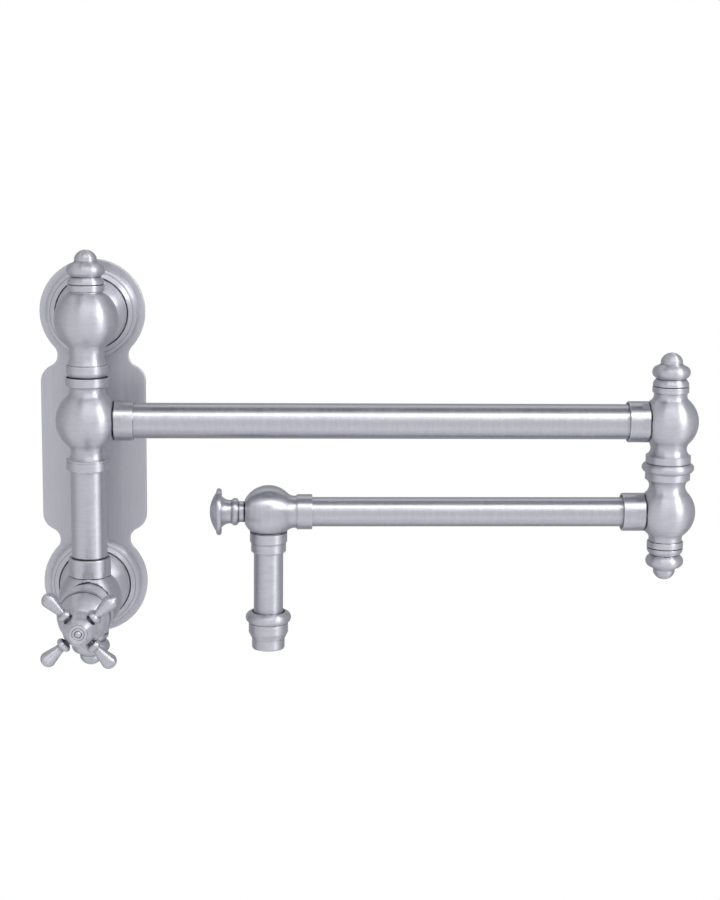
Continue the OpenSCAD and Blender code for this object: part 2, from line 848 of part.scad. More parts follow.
// Arm hub: ball with a flat top collar and a flared foot
module arm_hub() {
    color(steel) difference() {
        union() {
            swivel_axis(0) turn() {
                half_ball(hub_ball_r, arm1_z);
                band(swivel_r, hub_top_z - hub_collar_t, hub_top_z);
                translate([0, arm1_z]) throat(hub_ball_r, hub_neck_r, hub_throat);
                translate([0, arm1_z]) flare(hub_neck_r, post_step_r, hub_flare, hub_top - hub_collar_t);
                translate([0, arm1_z]) mirror([0, 1]) hub_foot();
            }
            swivel_axis(arm1_z) facing_right() bore(nipple1_r, 0, nut1_in_to - tube_entry);
        }
        swivel_axis(0) bore(tube1_r + fit_gap, hub_foot_z - over, hub_foot_z + hub_foot_t);
        swivel_axis(0) bore(way1_r, hub_foot_z, arm1_z + way1_r);
        swivel_axis(arm1_z) facing_right() bore(way1_r, 0, nut1_in_to + over);
        swivel_axis(0) bore(bush_r + fit_gap, hub_top_z - pin_down - over - fit_gap, hub_top_z + over);
    }
}
// Neck and foot under the ball of the arm hub, with a fine turned line
module hub_foot() {
    foot = hub_drop - hub_foot_t;
    throat(hub_ball_r, hub_neck_r, hub_throat);
    flare(hub_neck_r, hub_foot_r - hub_line, hub_foot_flare, foot);
    band(hub_foot_r - hub_line, foot, hub_drop);
    band(hub_foot_r, foot, foot + hub_line_in);
    band(hub_foot_r, foot + hub_line_in + hub_line, hub_drop);
}

module riser_tube() {
    color(steel) swivel_axis(0) turn() difference() {
        band(tube1_r, riser_foot_z, hub_foot_z + hub_foot_t - fit_gap);
        band(tube1_bore, riser_foot_z - over, hub_foot_z + hub_foot_t + over);
    }
}
orings_z = [riser_foot_z - spigot_down / 2 - oring_pitch / 2, riser_foot_z - spigot_down / 2 + oring_pitch / 2];
module riser_spigot() {
    color(brass) swivel_axis(0) turn() difference() {
        union() {
            band(spigot_r, riser_foot_z - spigot_down, riser_foot_z);
            band(tube1_bore - fit_gap, riser_foot_z, riser_foot_z + spigot_up);
        }
        band(spigot_bore, riser_foot_z - spigot_down - over, riser_foot_z + spigot_up + over);
        for (z = orings_z) o_ring_groove(spigot_r, z);
    }
}
module riser_orings() {
    color(rubber) swivel_axis(0) for (z = orings_z) o_ring(spigot_r + run_gap - oring_gap, z);
}

// Coupling nuts and tubes of the first arm
module coupling(r, from, to, nipple, tube, ball) {
    difference() {
        nut_form(r, from, to);
        bore(nipple + fit_gap, 0, to - tube_entry);
        bore(tube + fit_gap, to - tube_entry, to + over);
        sphere(ball + nut_gap);
    }
}
module arm1_inner_nut() {
    color(steel) swivel_axis(arm1_z) facing_right()
        coupling(nut1_in_r, nut1_in_from, nut1_in_to, nipple1_r, tube1_r, hub_ball_r);
}
module arm1_outer_nut() {
    color(steel) elbow_axis(arm1_z) facing_left()
        coupling(nut1_out_r, nut1_out_from, nut1_out_to, nipple1_r, tube1_r, elbow_ball_r);
}
module arm2_nut() {
    color(steel) elbow_axis(arm2_z) facing_left()
        coupling(nut2_r, nut2_from, nut2_to, nipple2_r, tube2_r, elbow_ball_r);
}
module arm1_tube() {
    color(steel) swivel_axis(arm1_z) facing_right() turn() difference() {
        band(tube1_r, nut1_in_to - tube_entry, arm1_len - nut1_out_to + tube_entry);
        band(tube1_bore, 0, arm1_len);
    }
}
module arm2_tube() {
    color(steel) elbow_axis(arm2_z) facing_left() turn() difference() {
        band(tube2_r, nut2_to - tube_entry, arm2_len - arm2_collar_to + arm2_seat);
        band(tube2_bore, 0, arm2_len);
    }
}

// Outline of an elbow ball with its neck and collar, seen with the collar upwards
module elbow_form(collar_face) {
    collar_from = collar_face - elbow_collar_t;
    half_ball(elbow_ball_r, 0);
    mirror([0, 1]) finial_seat(elbow_ball_r, elbow_seat, elbow_seat_throat);
    throat(elbow_ball_r, elbow_neck_r, elbow_throat);
    flare(elbow_neck_r, elbow_collar_r - fit_gap, elbow_flare, collar_from);
    band(elbow_collar_r, collar_from, collar_face);
}
module elbow_upper() {
    face = arm1_z - elbow_top_face;
    color(steel) difference() {
        union() {
            elbow_axis(arm1_z) mirror([0, 0, 1]) turn() elbow_form(face);
            elbow_axis(arm1_z) facing_left() bore(nipple1_r, 0, nut1_out_to - tube_entry);
        }
        elbow_axis(arm1_z) facing_left() bore(way1_r, 0, nut1_out_to);
        elbow_axis(0) bore(way1_r, elbow_top_face, arm1_z + way1_r);
        elbow_axis(0) bore(spindle_thread_r + fit_gap, elbow_top_face - over,
            elbow_top_face + spindle_thread_len);
        elbow_axis(arm1_z) bore(stud_r + fit_gap, elbow_seat - stud_len - over, elbow_seat + over);
    }
}
module elbow_lower() {
    face = elbow_low_face - arm2_z;
    color(steel) difference() {
        union() {
            elbow_axis(arm2_z) turn() elbow_form(face);
            elbow_axis(arm2_z) facing_left() bore(nipple2_r, 0, nut2_to - tube_entry);
        }
        elbow_axis(arm2_z) facing_left() bore(way2_r, 0, nut2_to);
        elbow_axis(0) bore(spindle_r + run_gap, arm2_z, elbow_low_face + over);
        elbow_axis(0) bore(chamber_r, arm2_z - elbow_seat - over, shoulder_z);
    }
}
module elbow_bead_ring() {
    color(steel) elbow_axis(elbow_low_face) turn() difference() {
        half_bead(bead_ring_r, bead_ring_t / 2, bead_ring_t);
        band(spindle_r + turn_gap, -over, bead_ring_t + over);
    }
}
spindle_end = shoulder_z - thrust_t - turn_gap - spindle_nut_t - fit_gap;
spindle_grooves = [shoulder_z + oring_pitch, shoulder_z + oring_pitch * 2];
module elbow_spindle() {
    color(brass) elbow_axis(0) turn() difference() {
        union() {
            band(spindle_thread_r, elbow_top_face, elbow_top_face + spindle_thread_len);
            band(spindle_r, spindle_end, elbow_top_face + over);
        }
        band(spindle_bore_r, spindle_end - over, elbow_top_face + spindle_thread_len + over);
        for (z = spindle_grooves) o_ring_groove(spindle_r, z);
    }
}
module elbow_orings() {
    color(rubber) elbow_axis(0) for (z = spindle_grooves) o_ring(spindle_r + run_gap - oring_gap, z);
}
module thrust_washer() {
    color(polymer) elbow_axis(0) turn() difference() {
        band(spindle_nut_r, shoulder_z - thrust_t, shoulder_z);
        band(spindle_r + fit_gap, shoulder_z - thrust_t - over, shoulder_z + over);
    }
}
module spindle_nut() {
    color(brass) elbow_axis(spindle_end + fit_gap) difference() {
        cylinder(r = spindle_nut_r, h = spindle_nut_t, $fn = sides);
        bore(spindle_r + fit_gap / 2, -over, spindle_nut_t + over);
    }
}

// Spout end of the second arm
module spout_body() {
    color(steel) difference() {
        union() {
            spout_axis(arm2_z) facing_right() turn() {
                half_ball(spout_ball_r, 0);
                throat(spout_ball_r, spout_neck_r, spout_throat);
                flare(spout_neck_r, arm2_collar_r - fit_gap, spout_flare, arm2_collar_from);
                band(arm2_collar_r, arm2_collar_from, arm2_collar_to);
            }
            spout_axis(0) bore(spout_boss_r, spout_boss_z, arm2_z);
        }
        spout_axis(arm2_z) facing_right() bore(tube2_r + fit_gap, arm2_collar_to - arm2_seat,
            arm2_collar_to + over);
        spout_axis(arm2_z) facing_right() bore(way2_r, 0, arm2_collar_to);
        spout_axis(arm2_z) facing_left() bore(knob_cartridge_r + fit_gap, knob_back, spout_ball_r + over);
        spout_axis(arm2_z) facing_left() bore(spout_ball_r, knob_face, spout_ball_r + over);
        spout_axis(0) bore(way2_r, spout_boss_z - over, arm2_z);
    }
}
module spout_nut() {
    nut_top = arm2_z - spout_nut_top;
    step_top = nut_top - spout_nut_t;
    step_foot = step_top - spout_nut_chamfer - spout_step_t;
    color(steel) spout_axis(0) difference() {
        turn() difference() {
            polygon([[0, nut_top], [spout_nut_r, nut_top], [spout_nut_r, step_top],
                [spout_step_r, step_top - spout_nut_chamfer], [spout_step_r, step_foot],
                [spout_step_r - spout_nut_chamfer, step_foot - spout_nut_chamfer],
                [0, step_foot - spout_nut_chamfer]]);
            band(spout_boss_r + fit_gap, step_foot - over * 2, nut_top + over);
            band(tube2_r + fit_gap, step_foot - over * 2, spout_boss_z);
        }
        translate([0, 0, arm2_z]) sphere(spout_ball_r + fit_gap);
    }
}
module spout_tube() {
    color(steel) spout_axis(0) turn() difference() {
        band(tube2_r, aerator_top_z - aerator_tube_entry, spout_boss_z - fit_gap);
        band(tube2_bore, outlet_z, arm2_z);
    }
}
module aerator_housing() {
    bead_at = aerator_top_z - aerator_bead_t / 2;
    taper_from = outlet_z + aerator_len * aerator_taper_from_share;
    taper_to = outlet_z + aerator_len * aerator_taper_to_share;
    seat_z = aerator_top_z - aerator_tube_entry - gasket_t;
    color(steel) spout_axis(0) difference() {
        union() {
            turn() half_bead(aerator_bead_r, bead_at, aerator_bead_t);
            turn() polygon([[0, bead_at], [aerator_body_r, bead_at], [aerator_body_r, taper_from],
                [aerator_end_r, taper_to], [aerator_end_r, outlet_z + aerator_lip_t],
                [aerator_end_r - aerator_lip_t / 2, outlet_z], [0, outlet_z]]);
        }
        bore(tube2_r + fit_gap, outlet_z + aerator_lip_t, aerator_top_z + over);
        bore(tube2_r + aerator_mouth, aerator_top_z - aerator_mouth * 2, aerator_top_z + over);
        bore(aerator_lip_r, outlet_z - over, seat_z);
    }
}
module aerator_insert() {
    top = aerator_top_z - aerator_tube_entry - gasket_t;
    color(polymer) spout_axis(0) difference() {
        bore(tube2_r - fit_gap, outlet_z + aerator_lip_t, top);
        for (i = [0:jet_count - 1]) rotate([0, 0, i * 360 / jet_count])
            translate([jet_ring_r, 0, 0]) bore(jet_r, outlet_z, top + over);
        for (i = [0:inner_jet_count - 1]) rotate([0, 0, i * 360 / inner_jet_count])
            translate([jet_ring_r / 2, 0, 0]) bore(jet_r, outlet_z, top + over);
    }
}
module aerator_gasket() {
    top = aerator_top_z - aerator_tube_entry;
    color(rubber) spout_axis(0) turn() difference() {
        band(tube2_r - fit_gap, top - gasket_t, top);
        band(tube2_bore, outlet_z, arm2_z);
    }
}

// Second shut-off inside the spout ball
module knob_parts() {
    spout_axis(arm2_z) facing_left() children();
}
knob_seal_front = knob_back + knob_seal_t;
knob_fixed_front = knob_seal_front + knob_disc_t;
knob_moving_front = knob_fixed_front + disc_gap + knob_disc_t;
knob_flange_front = knob_moving_front + disc_gap + knob_disc_t;
knob_base = knob_face + knob_gap;
knob_groove = knob_face - oring_pitch;
module spout_seat_seal() {
    color(rubber) knob_parts() turn() difference() {
        band(knob_disc_r, knob_back, knob_seal_front);
        band(knob_disc_r / 2, knob_back - over, knob_seal_front + over);
    }
}
module spout_fixed_disc() {
    color(ceramic) knob_parts() ported_disc(knob_disc_r, knob_seal_front, knob_fixed_front, knob_disc_r / 4);
}
module spout_moving_disc() {
    color(ceramic) knob_parts() rotate([0, 0, 90])
        ported_disc(knob_disc_r - disc_gap, knob_fixed_front + disc_gap, knob_moving_front, knob_disc_r / 4);
}
module spout_cartridge() {
    wide = knob_flange_front + knob_window_l + disc_gap;
    color(brass) knob_parts() difference() {
        bore(knob_cartridge_r, knob_seal_front, knob_face);
        bore(knob_disc_r + fit_gap, knob_seal_front - over, wide);
        bore(knob_stem_r + run_gap, 0, knob_face + over);
        translate([-knob_cartridge_r - over, -knob_window_w / 2, knob_flange_front])
            cube([(knob_cartridge_r + over) * 2, knob_window_w, knob_window_l]);
    }
}
module spout_stem() {
    color(brass) knob_parts() union() {
        turn() difference() {
            union() {
                band(knob_disc_r - disc_gap, knob_moving_front + disc_gap, knob_flange_front);
                band(knob_stem_r, knob_flange_front, knob_base);
            }
            o_ring_groove(knob_stem_r, knob_groove);
        }
        translate([0, 0, knob_base]) cylinder(r = knob_drive_r, h = knob_drive_len, $fn = sides);
    }
}
module spout_stem_oring() {
    color(rubber) knob_parts() o_ring(knob_stem_r + run_gap - oring_gap, knob_groove);
}
module spout_knob() {
    rim_at = knob_base + knob_len * knob_rim_share;
    waist_at = knob_base + knob_len * knob_waist_share;
    bead_at = knob_base + knob_len * knob_bead_share;
    tip = knob_base + knob_len;
    color(steel) knob_parts() difference() {
        turn() {
            band(knob_neck_r, knob_base, bead_at);
            half_bead(knob_bead_r, bead_at, knob_bead_t);
            difference() {
                band(knob_r - knob_rim_t / 2, bead_at, rim_at);
                cove(knob_waist_r, waist_at, rim_at - waist_at);
                translate([knob_waist_r, bead_at - over]) square([knob_r, waist_at - bead_at + over]);
            }
            half_bead(knob_r, rim_at, knob_rim_t);
            intersection() {
                translate([0, tip - knob_dome_curve]) circle(knob_dome_curve);
                band(knob_r - knob_rim_t / 2, rim_at, tip + over);
            }
        }
        translate([0, 0, knob_base - over])
            cylinder(r = knob_drive_r + fit_gap, h = knob_drive_len + over + fit_gap, $fn = sides);
    }
}

backplate();
upper_escutcheon();
lower_escutcheon();
upper_post();
post_finial();
pivot_pin();
valve_body();
valve_finial();
riser_gland_nut();
bonnet();
valve_cartridge();
valve_cartridge_nut();
valve_fixed_disc();
valve_seat_seal();
valve_stem();
valve_moving_disc();
valve_stem_oring();
handle_hub();
handle_spoke_1();
handle_spoke_2();
handle_spoke_3();
handle_spoke_4();
handle_screw();
index_button();
arm_hub();
pivot_bush();
pivot_washer();
riser_tube();
riser_spigot();
riser_orings();
arm1_inner_nut();
arm1_tube();
arm1_outer_nut();
elbow_upper();
elbow_upper_finial();
elbow_spindle();
elbow_orings();
spindle_nut();
elbow_bead_ring();
elbow_lower();
elbow_lower_finial();
thrust_washer();
arm2_nut();
arm2_tube();
spout_body();
spout_nut();
spout_tube();
aerator_housing();
aerator_insert();
aerator_gasket();
spout_cartridge();
spout_fixed_disc();
spout_seat_seal();
spout_knob();
spout_stem();
spout_moving_disc();
spout_stem_oring();
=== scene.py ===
# Wall mounted pot filler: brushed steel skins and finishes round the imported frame
import json

import bpy
import numpy as np
from mathutils import Matrix

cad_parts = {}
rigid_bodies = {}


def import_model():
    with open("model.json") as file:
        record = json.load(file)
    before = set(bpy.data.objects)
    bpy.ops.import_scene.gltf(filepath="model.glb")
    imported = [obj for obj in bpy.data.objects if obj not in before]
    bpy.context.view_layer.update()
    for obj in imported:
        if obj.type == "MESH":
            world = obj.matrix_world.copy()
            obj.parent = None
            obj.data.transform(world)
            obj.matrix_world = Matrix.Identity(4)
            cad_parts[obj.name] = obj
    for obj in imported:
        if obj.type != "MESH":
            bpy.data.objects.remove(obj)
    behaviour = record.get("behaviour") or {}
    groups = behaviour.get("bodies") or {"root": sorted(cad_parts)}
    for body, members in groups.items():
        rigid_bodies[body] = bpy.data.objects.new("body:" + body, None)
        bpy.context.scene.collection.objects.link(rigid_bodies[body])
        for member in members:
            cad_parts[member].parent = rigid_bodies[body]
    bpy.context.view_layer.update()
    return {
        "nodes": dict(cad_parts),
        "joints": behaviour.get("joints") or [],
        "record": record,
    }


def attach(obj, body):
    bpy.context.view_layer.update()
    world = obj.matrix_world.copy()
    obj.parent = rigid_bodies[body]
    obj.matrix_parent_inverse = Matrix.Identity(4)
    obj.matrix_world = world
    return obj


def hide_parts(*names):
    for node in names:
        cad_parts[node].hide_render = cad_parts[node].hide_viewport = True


for leftover in list(bpy.data.objects):
    bpy.data.objects.remove(leftover)
scene = bpy.context.scene
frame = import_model()
print("frame loaded:", len(frame["nodes"]), "nodes")

mm, tiny, slack = 0.001, 1e-4, 0.01  # a millimetre in metres, and two tolerances in millimetres
places = {j["name"]: np.array(j["pos_m"]) / mm for j in frame["joints"]}
mounts = {m["name"]: np.array(m["pos_m"]) / mm for m in frame["record"]["mounts"]}
swivelAxis = places["first_arm_swing"] * [1, 1, 0]
postRise = mounts["post_anchor"][2]
arm1Z = places["first_arm_swing"][2]
arm2Z = places["spout_knob_turn"][2]
elbowX = places["second_arm_swing"][0]
spoutX = places["spout_knob_turn"][0]
axisOut = -swivelAxis[1]
postBall = swivelAxis + [0, 0, postRise]
valveBall = swivelAxis
hubBall = swivelAxis + [0, 0, arm1Z]
elbowTop = swivelAxis + [elbowX, 0, arm1Z]
elbowLow = swivelAxis + [elbowX, 0, arm2Z]
spoutBall = swivelAxis + [spoutX, 0, arm2Z]
directions = {"up": (0, 0, 1), "down": (0, 0, -1), "front": (0, -1, 0), "right": (1, 0, 0), "left": (-1, 0, 0)}


class named(dict):
    # a dictionary whose entries can be read as attributes too
    __getattr__ = dict.__getitem__


def addObject(name, data):
    obj = bpy.data.objects.new(name, data)
    scene.collection.objects.link(obj)
    return obj


def unit(vector):
    return vector / np.linalg.norm(vector)


def arcSin(value):
    return np.degrees(np.arcsin(value))


def arcCos(value):
    return np.degrees(np.arccos(value))


def aim(obj, right, up, back, place):
    # the columns of the matrix are the object's three axes and its place
    matrix = np.eye(4)
    matrix[:3] = np.stack([right, up, back, place], 1)
    obj.matrix_world = Matrix(matrix.tolist())


# Camera
camera = named(place=(0.1087, -1.2662, 0.3183), lens=79.09, sensor=36, nearest=0.02, yaw=-2.8635, pitch=-10.3395,
               roll=0.6115)


def addCamera(c):
    data = bpy.data.cameras.new("camera")
    data.lens, data.sensor_width, data.clip_start = c.lens, c.sensor, c.nearest
    obj = addObject("camera", data)
    yaw, pitch, roll = np.radians([c.yaw, c.pitch, c.roll])
    forward = np.array([-np.sin(yaw) * np.cos(pitch), np.cos(yaw) * np.cos(pitch), np.sin(pitch)])
    level = unit(np.cross(forward, (0, 0, 1)))
    across = level * np.cos(roll) + np.cross(level, forward) * np.sin(roll)
    aim(obj, across, np.cross(across, forward), -forward, c.place)
    scene.camera = obj


addCamera(camera)


# Outlines: rows of (radius, height, rounding), all in millimetres
def row(*corners):
    return np.array([c if len(c) == 3 else (*c, 0) for c in corners], float)


def chain(*parts):
    # one outline from rows and single corners
    return np.concatenate([part if isinstance(part, np.ndarray) else row(part) for part in parts])


def arc(centre, radius, start, end, steps=20):
    # points at centre + radius * (cos a, sin a), with a running evenly from start to end in degrees
    a = np.radians(np.linspace(start, end, steps))
    return np.stack([centre[0] + radius * np.cos(a), centre[1] + radius * np.sin(a), a * 0], 1)


def down(rows):
    # an outline turned upside down
    return rows[::-1] * [1, -1, 1]


def throat(ball, neck, curve):
    # hollow arc that touches the ball and the neck: its centre is ball + curve from the ball's centre
    up = np.sqrt((ball + curve) ** 2 - (neck + curve) ** 2)
    lean = np.degrees(np.arctan2(up, neck + curve))
    return arc((neck + curve, up), curve, lean + 180, 180, 16), lean


def flare(neck, edge, curve, top):
    # hollow arc that starts upright on the neck and reaches the edge at the height top
    rise = np.sqrt(curve ** 2 - (curve - edge + neck) ** 2)
    end = np.degrees(np.arctan2(rise, edge - neck - curve))
    return arc((neck + curve, top - rise), curve, 180, end, 14)


def waist(ball, neck, throatCurve, edge, flareCurve, top):
    # throat and flare on one neck; where both reach into one height, the wider of the two shows
    hollow, lean = throat(ball, neck, throatCurve)
    spread = flare(neck, edge, flareCurve, top)
    low, high = spread[0, 1], hollow[-1, 1]
    if low < high:
        h = np.linspace(low, high, 400)
        closing = neck + throatCurve - np.sqrt(throatCurve ** 2 - (high - h) ** 2)
        opening = neck + flareCurve - np.sqrt(flareCurve ** 2 - (h - low) ** 2)
        meet = np.argmax(opening >= closing)
        hollow = chain(hollow[hollow[:, 1] < h[meet] - 2 * slack], (opening[meet], h[meet]))
        spread = spread[spread[:, 1] > h[meet] + 2 * slack]
    return chain(hollow, spread), lean


def rounded(rows, closed, steps=7, lead=0.08):
    # each corner with a rounding becomes a true arc tangent to both sides, with a point close to each end of it;
    # the bend is one over the arc's radius, with the sign of the turn
    p, size = rows[:, :2], rows[:, 2]
    apart = np.r_[True, np.hypot(*np.diff(p, axis=0).T) > tiny]
    p, size = p[apart], size[apart]
    before, after = p - np.roll(p, 1, 0), np.roll(p, -1, 0) - p
    if not closed:
        before[0], after[-1] = after[0], before[-1]
    lengthBefore, lengthAfter = np.hypot(*before.T), np.hypot(*after.T)
    shorter = np.minimum(lengthBefore, lengthAfter)
    a, b = before / lengthBefore[:, None], after / lengthAfter[:, None]
    turn = np.arctan2(a[:, 0] * b[:, 1] - a[:, 1] * b[:, 0], (a * b).sum(1))
    half = np.tan(np.abs(turn) / 2)
    tangent = np.minimum(size * half, 0.45 * shorter)  # two arcs on one side never meet
    radius = np.where(half > 1e-6, tangent / np.maximum(half, 1e-6), 0)
    side = np.sign(turn)
    inward = np.stack([-a[:, 1], a[:, 0]], 1) * side[:, None]
    start, end = p - a * tangent[:, None], p + b * tangent[:, None]
    swing = np.abs(turn)[:, None, None] * np.linspace(0, 1, steps)[None, :, None]
    sweep = inward[:, None] * (1 - np.cos(swing)) + a[:, None] * np.sin(swing)
    swept = start[:, None] + radius[:, None, None] * sweep
    step = np.minimum(lead, np.maximum(0.4 * (shorter - tangent), 0))[:, None]
    everyPoint = np.concatenate([(start - a * step)[:, None], swept, (end + b * step)[:, None]], 1)
    used = np.repeat((tangent > tiny)[:, None], steps + 2, 1)
    used[:, 1] = True
    bend = np.where(tangent > tiny, side / np.maximum(radius, 0.05), 0)
    bends = bend[:, None] * np.r_[0, np.ones(steps), 0][None]
    return everyPoint[used], bends[used]


def around(direction):
    # three unit vectors: where the seam lies, the third across both, and the axis
    h = np.array(directions.get(direction, direction), float)
    seam = np.array((0, 1, 0) if abs(h[1]) < 0.5 else (0, 0, -1), float)
    return seam, np.cross(h, seam), h


def grime(low, high, below=99, depth=4):
    # a stretch of an outline for turned: painted shade and grime darken it between two heights and below a radius,
    # for the shade in a joint between parts
    return low, high, below, depth


def turned(name, rows, origin, direction, closed=False, flats=None, steps=128, joints=()):
    # lathe surface: point = origin + r * (seam cos t + across sin t) + axis * h, with r and h along the outline;
    # flats cut r down to the distance of six flat sides, up to one height
    outline, bend = rounded(rows, closed)
    # each joint sets the bend to minus its depth, which the finish paints as a dark line of painted shade and
    # grime
    for low, high, below, depth in joints:
        inJoint = (outline[:, 1] > low - slack) & (outline[:, 1] < high + slack) & (outline[:, 0] < below)
        bend = np.where(inJoint, -depth, bend)
    nextOne = np.roll(outline, -1, 0)
    if (outline[:, 0] * nextOne[:, 1] - outline[:, 1] * nextOne[:, 0]).sum() < 0:
        outline, bend = outline[::-1], -bend[::-1]
    seam, across, axis = around(direction)
    angle = np.linspace(0, 2 * np.pi, steps + 1)[:-1]
    r, h = np.repeat(outline[:, :1], steps, 1), outline[:, 1:]
    if flats:
        milled = flats.flat / np.cos((angle + np.pi / 6) % (np.pi / 3) - np.pi / 6)[None]
        r = np.where((h < flats.to + slack) & (r > flats.above), np.minimum(r, milled), r)
    ring = np.cos(angle)[None, :, None] * seam + np.sin(angle)[None, :, None] * across
    points = np.asarray(origin, float) + r[:, :, None] * ring + h[:, :, None] * axis
    along = np.r_[0, np.cumsum(np.hypot(*np.diff(outline, axis=0).T))]
    return surface(name, points, along, bend, closed)


def surface(name, points, along, bend, closed):
    # grid of points joined round and, where closed, end to end; otherwise the first and last rows are poles
    rows, steps = points.shape[:2]
    i = np.arange(rows if closed else rows - 1)[:, None]
    j = np.arange(steps)[None]
    corners = [(i, j), (i, j + 1), (i + 1, j + 1), (i + 1, j)]
    quads = np.stack([(a % rows) * steps + b % steps for a, b in corners], -1).reshape(-1, 4)
    reach = np.r_[along, along[-1] + 1]
    uv = np.stack([np.stack([(b + a * 0) / steps, reach[a] + b * 0], -1) for a, b in corners], 2).reshape(-1, 4, 2)
    vertices = points.reshape(-1, 3)
    bends = (bend if bend.ndim == 2 else np.repeat(bend[:, None], steps, 1)).ravel()
    triangles, lowUv, highUv = np.zeros((0, 3), int), uv[:0, 1:], uv[:0, :3]
    if not closed:
        # a pole takes the place of a whole row, so the quads that meet it become triangles
        last = len(vertices) - 2 * steps + 1
        vertices = np.concatenate([points[:1, 0], vertices[steps:-steps], points[-1:, 0]])
        bends = np.r_[bends[0], bends[steps:-steps], bends[-1]]
        quads = np.where(quads < steps, 0, np.where(quads >= (rows - 1) * steps, last, quads - steps + 1))
        triangles = np.concatenate([quads[:steps, 1:], quads[-steps:, :3]])
        lowUv, highUv = uv[:steps, 1:], uv[-steps:, :3]
        quads, uv = quads[steps:-steps], uv[steps:-steps]
    mesh = bpy.data.meshes.new(name)
    mesh.from_pydata((vertices * mm).tolist(), [], triangles.tolist() + quads.tolist())
    loops = np.concatenate([lowUv.reshape(-1, 2), highUv.reshape(-1, 2), uv.reshape(-1, 2)])
    mesh.uv_layers.new(name="turn").data.foreach_set("uv", loops.astype(np.float32).ravel())
    mesh.attributes.new("edge", "FLOAT", "POINT").data.foreach_set("value", bends.astype(np.float32))
    return addObject(name, mesh)


def combine(obj, other, how):
    change = obj.modifiers.new(how, "BOOLEAN")
    change.operation, change.object, change.solver = how, other, "MANIFOLD"
    obj.data = bpy.data.meshes.new_from_object(obj.evaluated_get(bpy.context.evaluated_depsgraph_get()))
    obj.modifiers.clear()
    bpy.data.objects.remove(other)
    return obj


def bored(obj, *holes, steps=96):
    # each hole is (radius, from, to, origin, direction); with six steps it is a hexagon
    for radius, start, end, origin, direction in holes:
        rows = row((0, start), (radius, start), (radius, end), (0, end))
        combine(obj, turned("tool", rows, origin, direction, steps=steps), "DIFFERENCE")


def branched(obj, radius, length, origin, direction):
    # adds a round branch that starts at the origin
    rows = row((0, 0), (radius, 0), (radius, length, 0.2), (0, length))
    return combine(obj, turned("branch", rows, origin, direction), "UNION")


def paintGrimeAndShade(obj, inside, depth=4):
    # paints shade and grime: darkens the points that the test accepts, given as millimetres from the frame's
    # origin
    values = obj.data.attributes["edge"].data
    points, edge = np.zeros(len(values) * 3, np.float32), np.zeros(len(values), np.float32)
    obj.data.vertices.foreach_get("co", points)
    values.foreach_get("value", edge)
    values.foreach_set("value", np.where(inside(points.reshape(-1, 3) / mm), np.float32(-depth), edge))


def finished(obj, body, *nodes, material=None):
    # shades the piece, gives it a finish (turned steel if none is named), ties it to its body and hides its nodes
    obj.data.materials.clear()
    obj.data.materials.append(material or turnedSteel)
    obj.data.shade_smooth()
    obj.data.set_sharp_from_angle(angle=np.radians(32))
    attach(obj, body)
    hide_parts(*nodes)


# Node helpers
def fill(tree, node, inputs):
    # links sockets and sets plain values
    for key, value in inputs.items():
        if isinstance(value, bpy.types.NodeSocket):
            tree.links.new(value, node.inputs[key])
        else:
            node.inputs[key].default_value = value
    return node


def add(tree, kind, inputs=None, **settings):
    node = tree.nodes.new("ShaderNode" + kind)
    for key, value in settings.items():
        setattr(node, key, value)
    return fill(tree, node, inputs or {})


def placed(tree, name, **inputs):
    return add(tree, "Group", inputs, node_tree=effects[name]).outputs


def maths(tree, how, *values):
    return add(tree, "Math", dict(enumerate(values)), operation=how).outputs[0]


def times(tree, a, b):
    return maths(tree, "MULTIPLY", a, b)


def weighted(tree, a, share, b):
    # share of a and the rest of b
    return maths(tree, "ADD", times(tree, a, share), times(tree, b, 1 - share))


def smooth(tree, value, low, high, start=0.0, end=1.0):
    limits = {"Value": value, "From Min": low, "From Max": high, "To Min": start, "To Max": end}
    return add(tree, "MapRange", limits, interpolation_type="SMOOTHSTEP").outputs[0]


def blended(tree, share, a, b):
    return add(tree, "Mix", {0: share, 6: a, 7: b}, data_type="RGBA").outputs[2]


def noise(tree, vector, scale, detail, roughness):
    sockets = {"Vector": vector, "Scale": scale, "Detail": detail, "Roughness": roughness}
    return add(tree, "TexNoise", sockets, noise_dimensions="3D").outputs[0]


def effect(name, inputs, outputs):
    tree = bpy.data.node_groups.new(name, "ShaderNodeTree")
    for title, start in inputs.items():
        tree.interface.new_socket(title, in_out="INPUT", socket_type="NodeSocketFloat").default_value = start
    for title in outputs:
        tree.interface.new_socket(title, in_out="OUTPUT", socket_type="NodeSocketFloat")
    return tree, tree.nodes.new("NodeGroupInput"), tree.nodes.new("NodeGroupOutput")


def newMaterial(name):
    material = bpy.data.materials.new(name)
    material.use_nodes = True
    return material, material.node_tree, material.node_tree.nodes["Principled BSDF"]


# Shared effects; each grain layer is (scale on the first two axes, scale on the third, detail of the noise)
turnedGrain = named(inputs={"Lines": 4.0, "Scratches": 1.3},
                    layers=((1.6, "Lines", 3.0), (11.0, "Scratches", 4.0), (0.9, 0.33, 2.0)))
drawnGrain = named(inputs={"Lines": 4200.0},
                   layers=(("Lines", 45.0, 3.0), (1500.0, 160.0, 4.0), (260.0, 12.0, 2.0)))
# convex bends show wear; hollow bends and joints are darkened for grime and painted shade
edgeWearAndShade = named(patches=160.0, patchLimits=(0.3, 0.62, 0.6, 1.0), wornBends=(0.4, 3.0), grimyBends=(0.3, 2.4))
toneDrift = named(wide=28.0, small=210.0, wideShare=0.7)


def turnAxes(tree):
    # cosine and sine of the turn round the lathe axis, and the length along the outline
    uv = add(tree, "SeparateXYZ", {0: add(tree, "UVMap", uv_map="turn").outputs[0]}).outputs
    angle = times(tree, uv[0], 2 * np.pi)
    return maths(tree, "COSINE", angle), maths(tree, "SINE", angle), uv[1]


def objectAxes(tree):
    return add(tree, "SeparateXYZ", {0: add(tree, "TexCoord").outputs["Object"]}).outputs


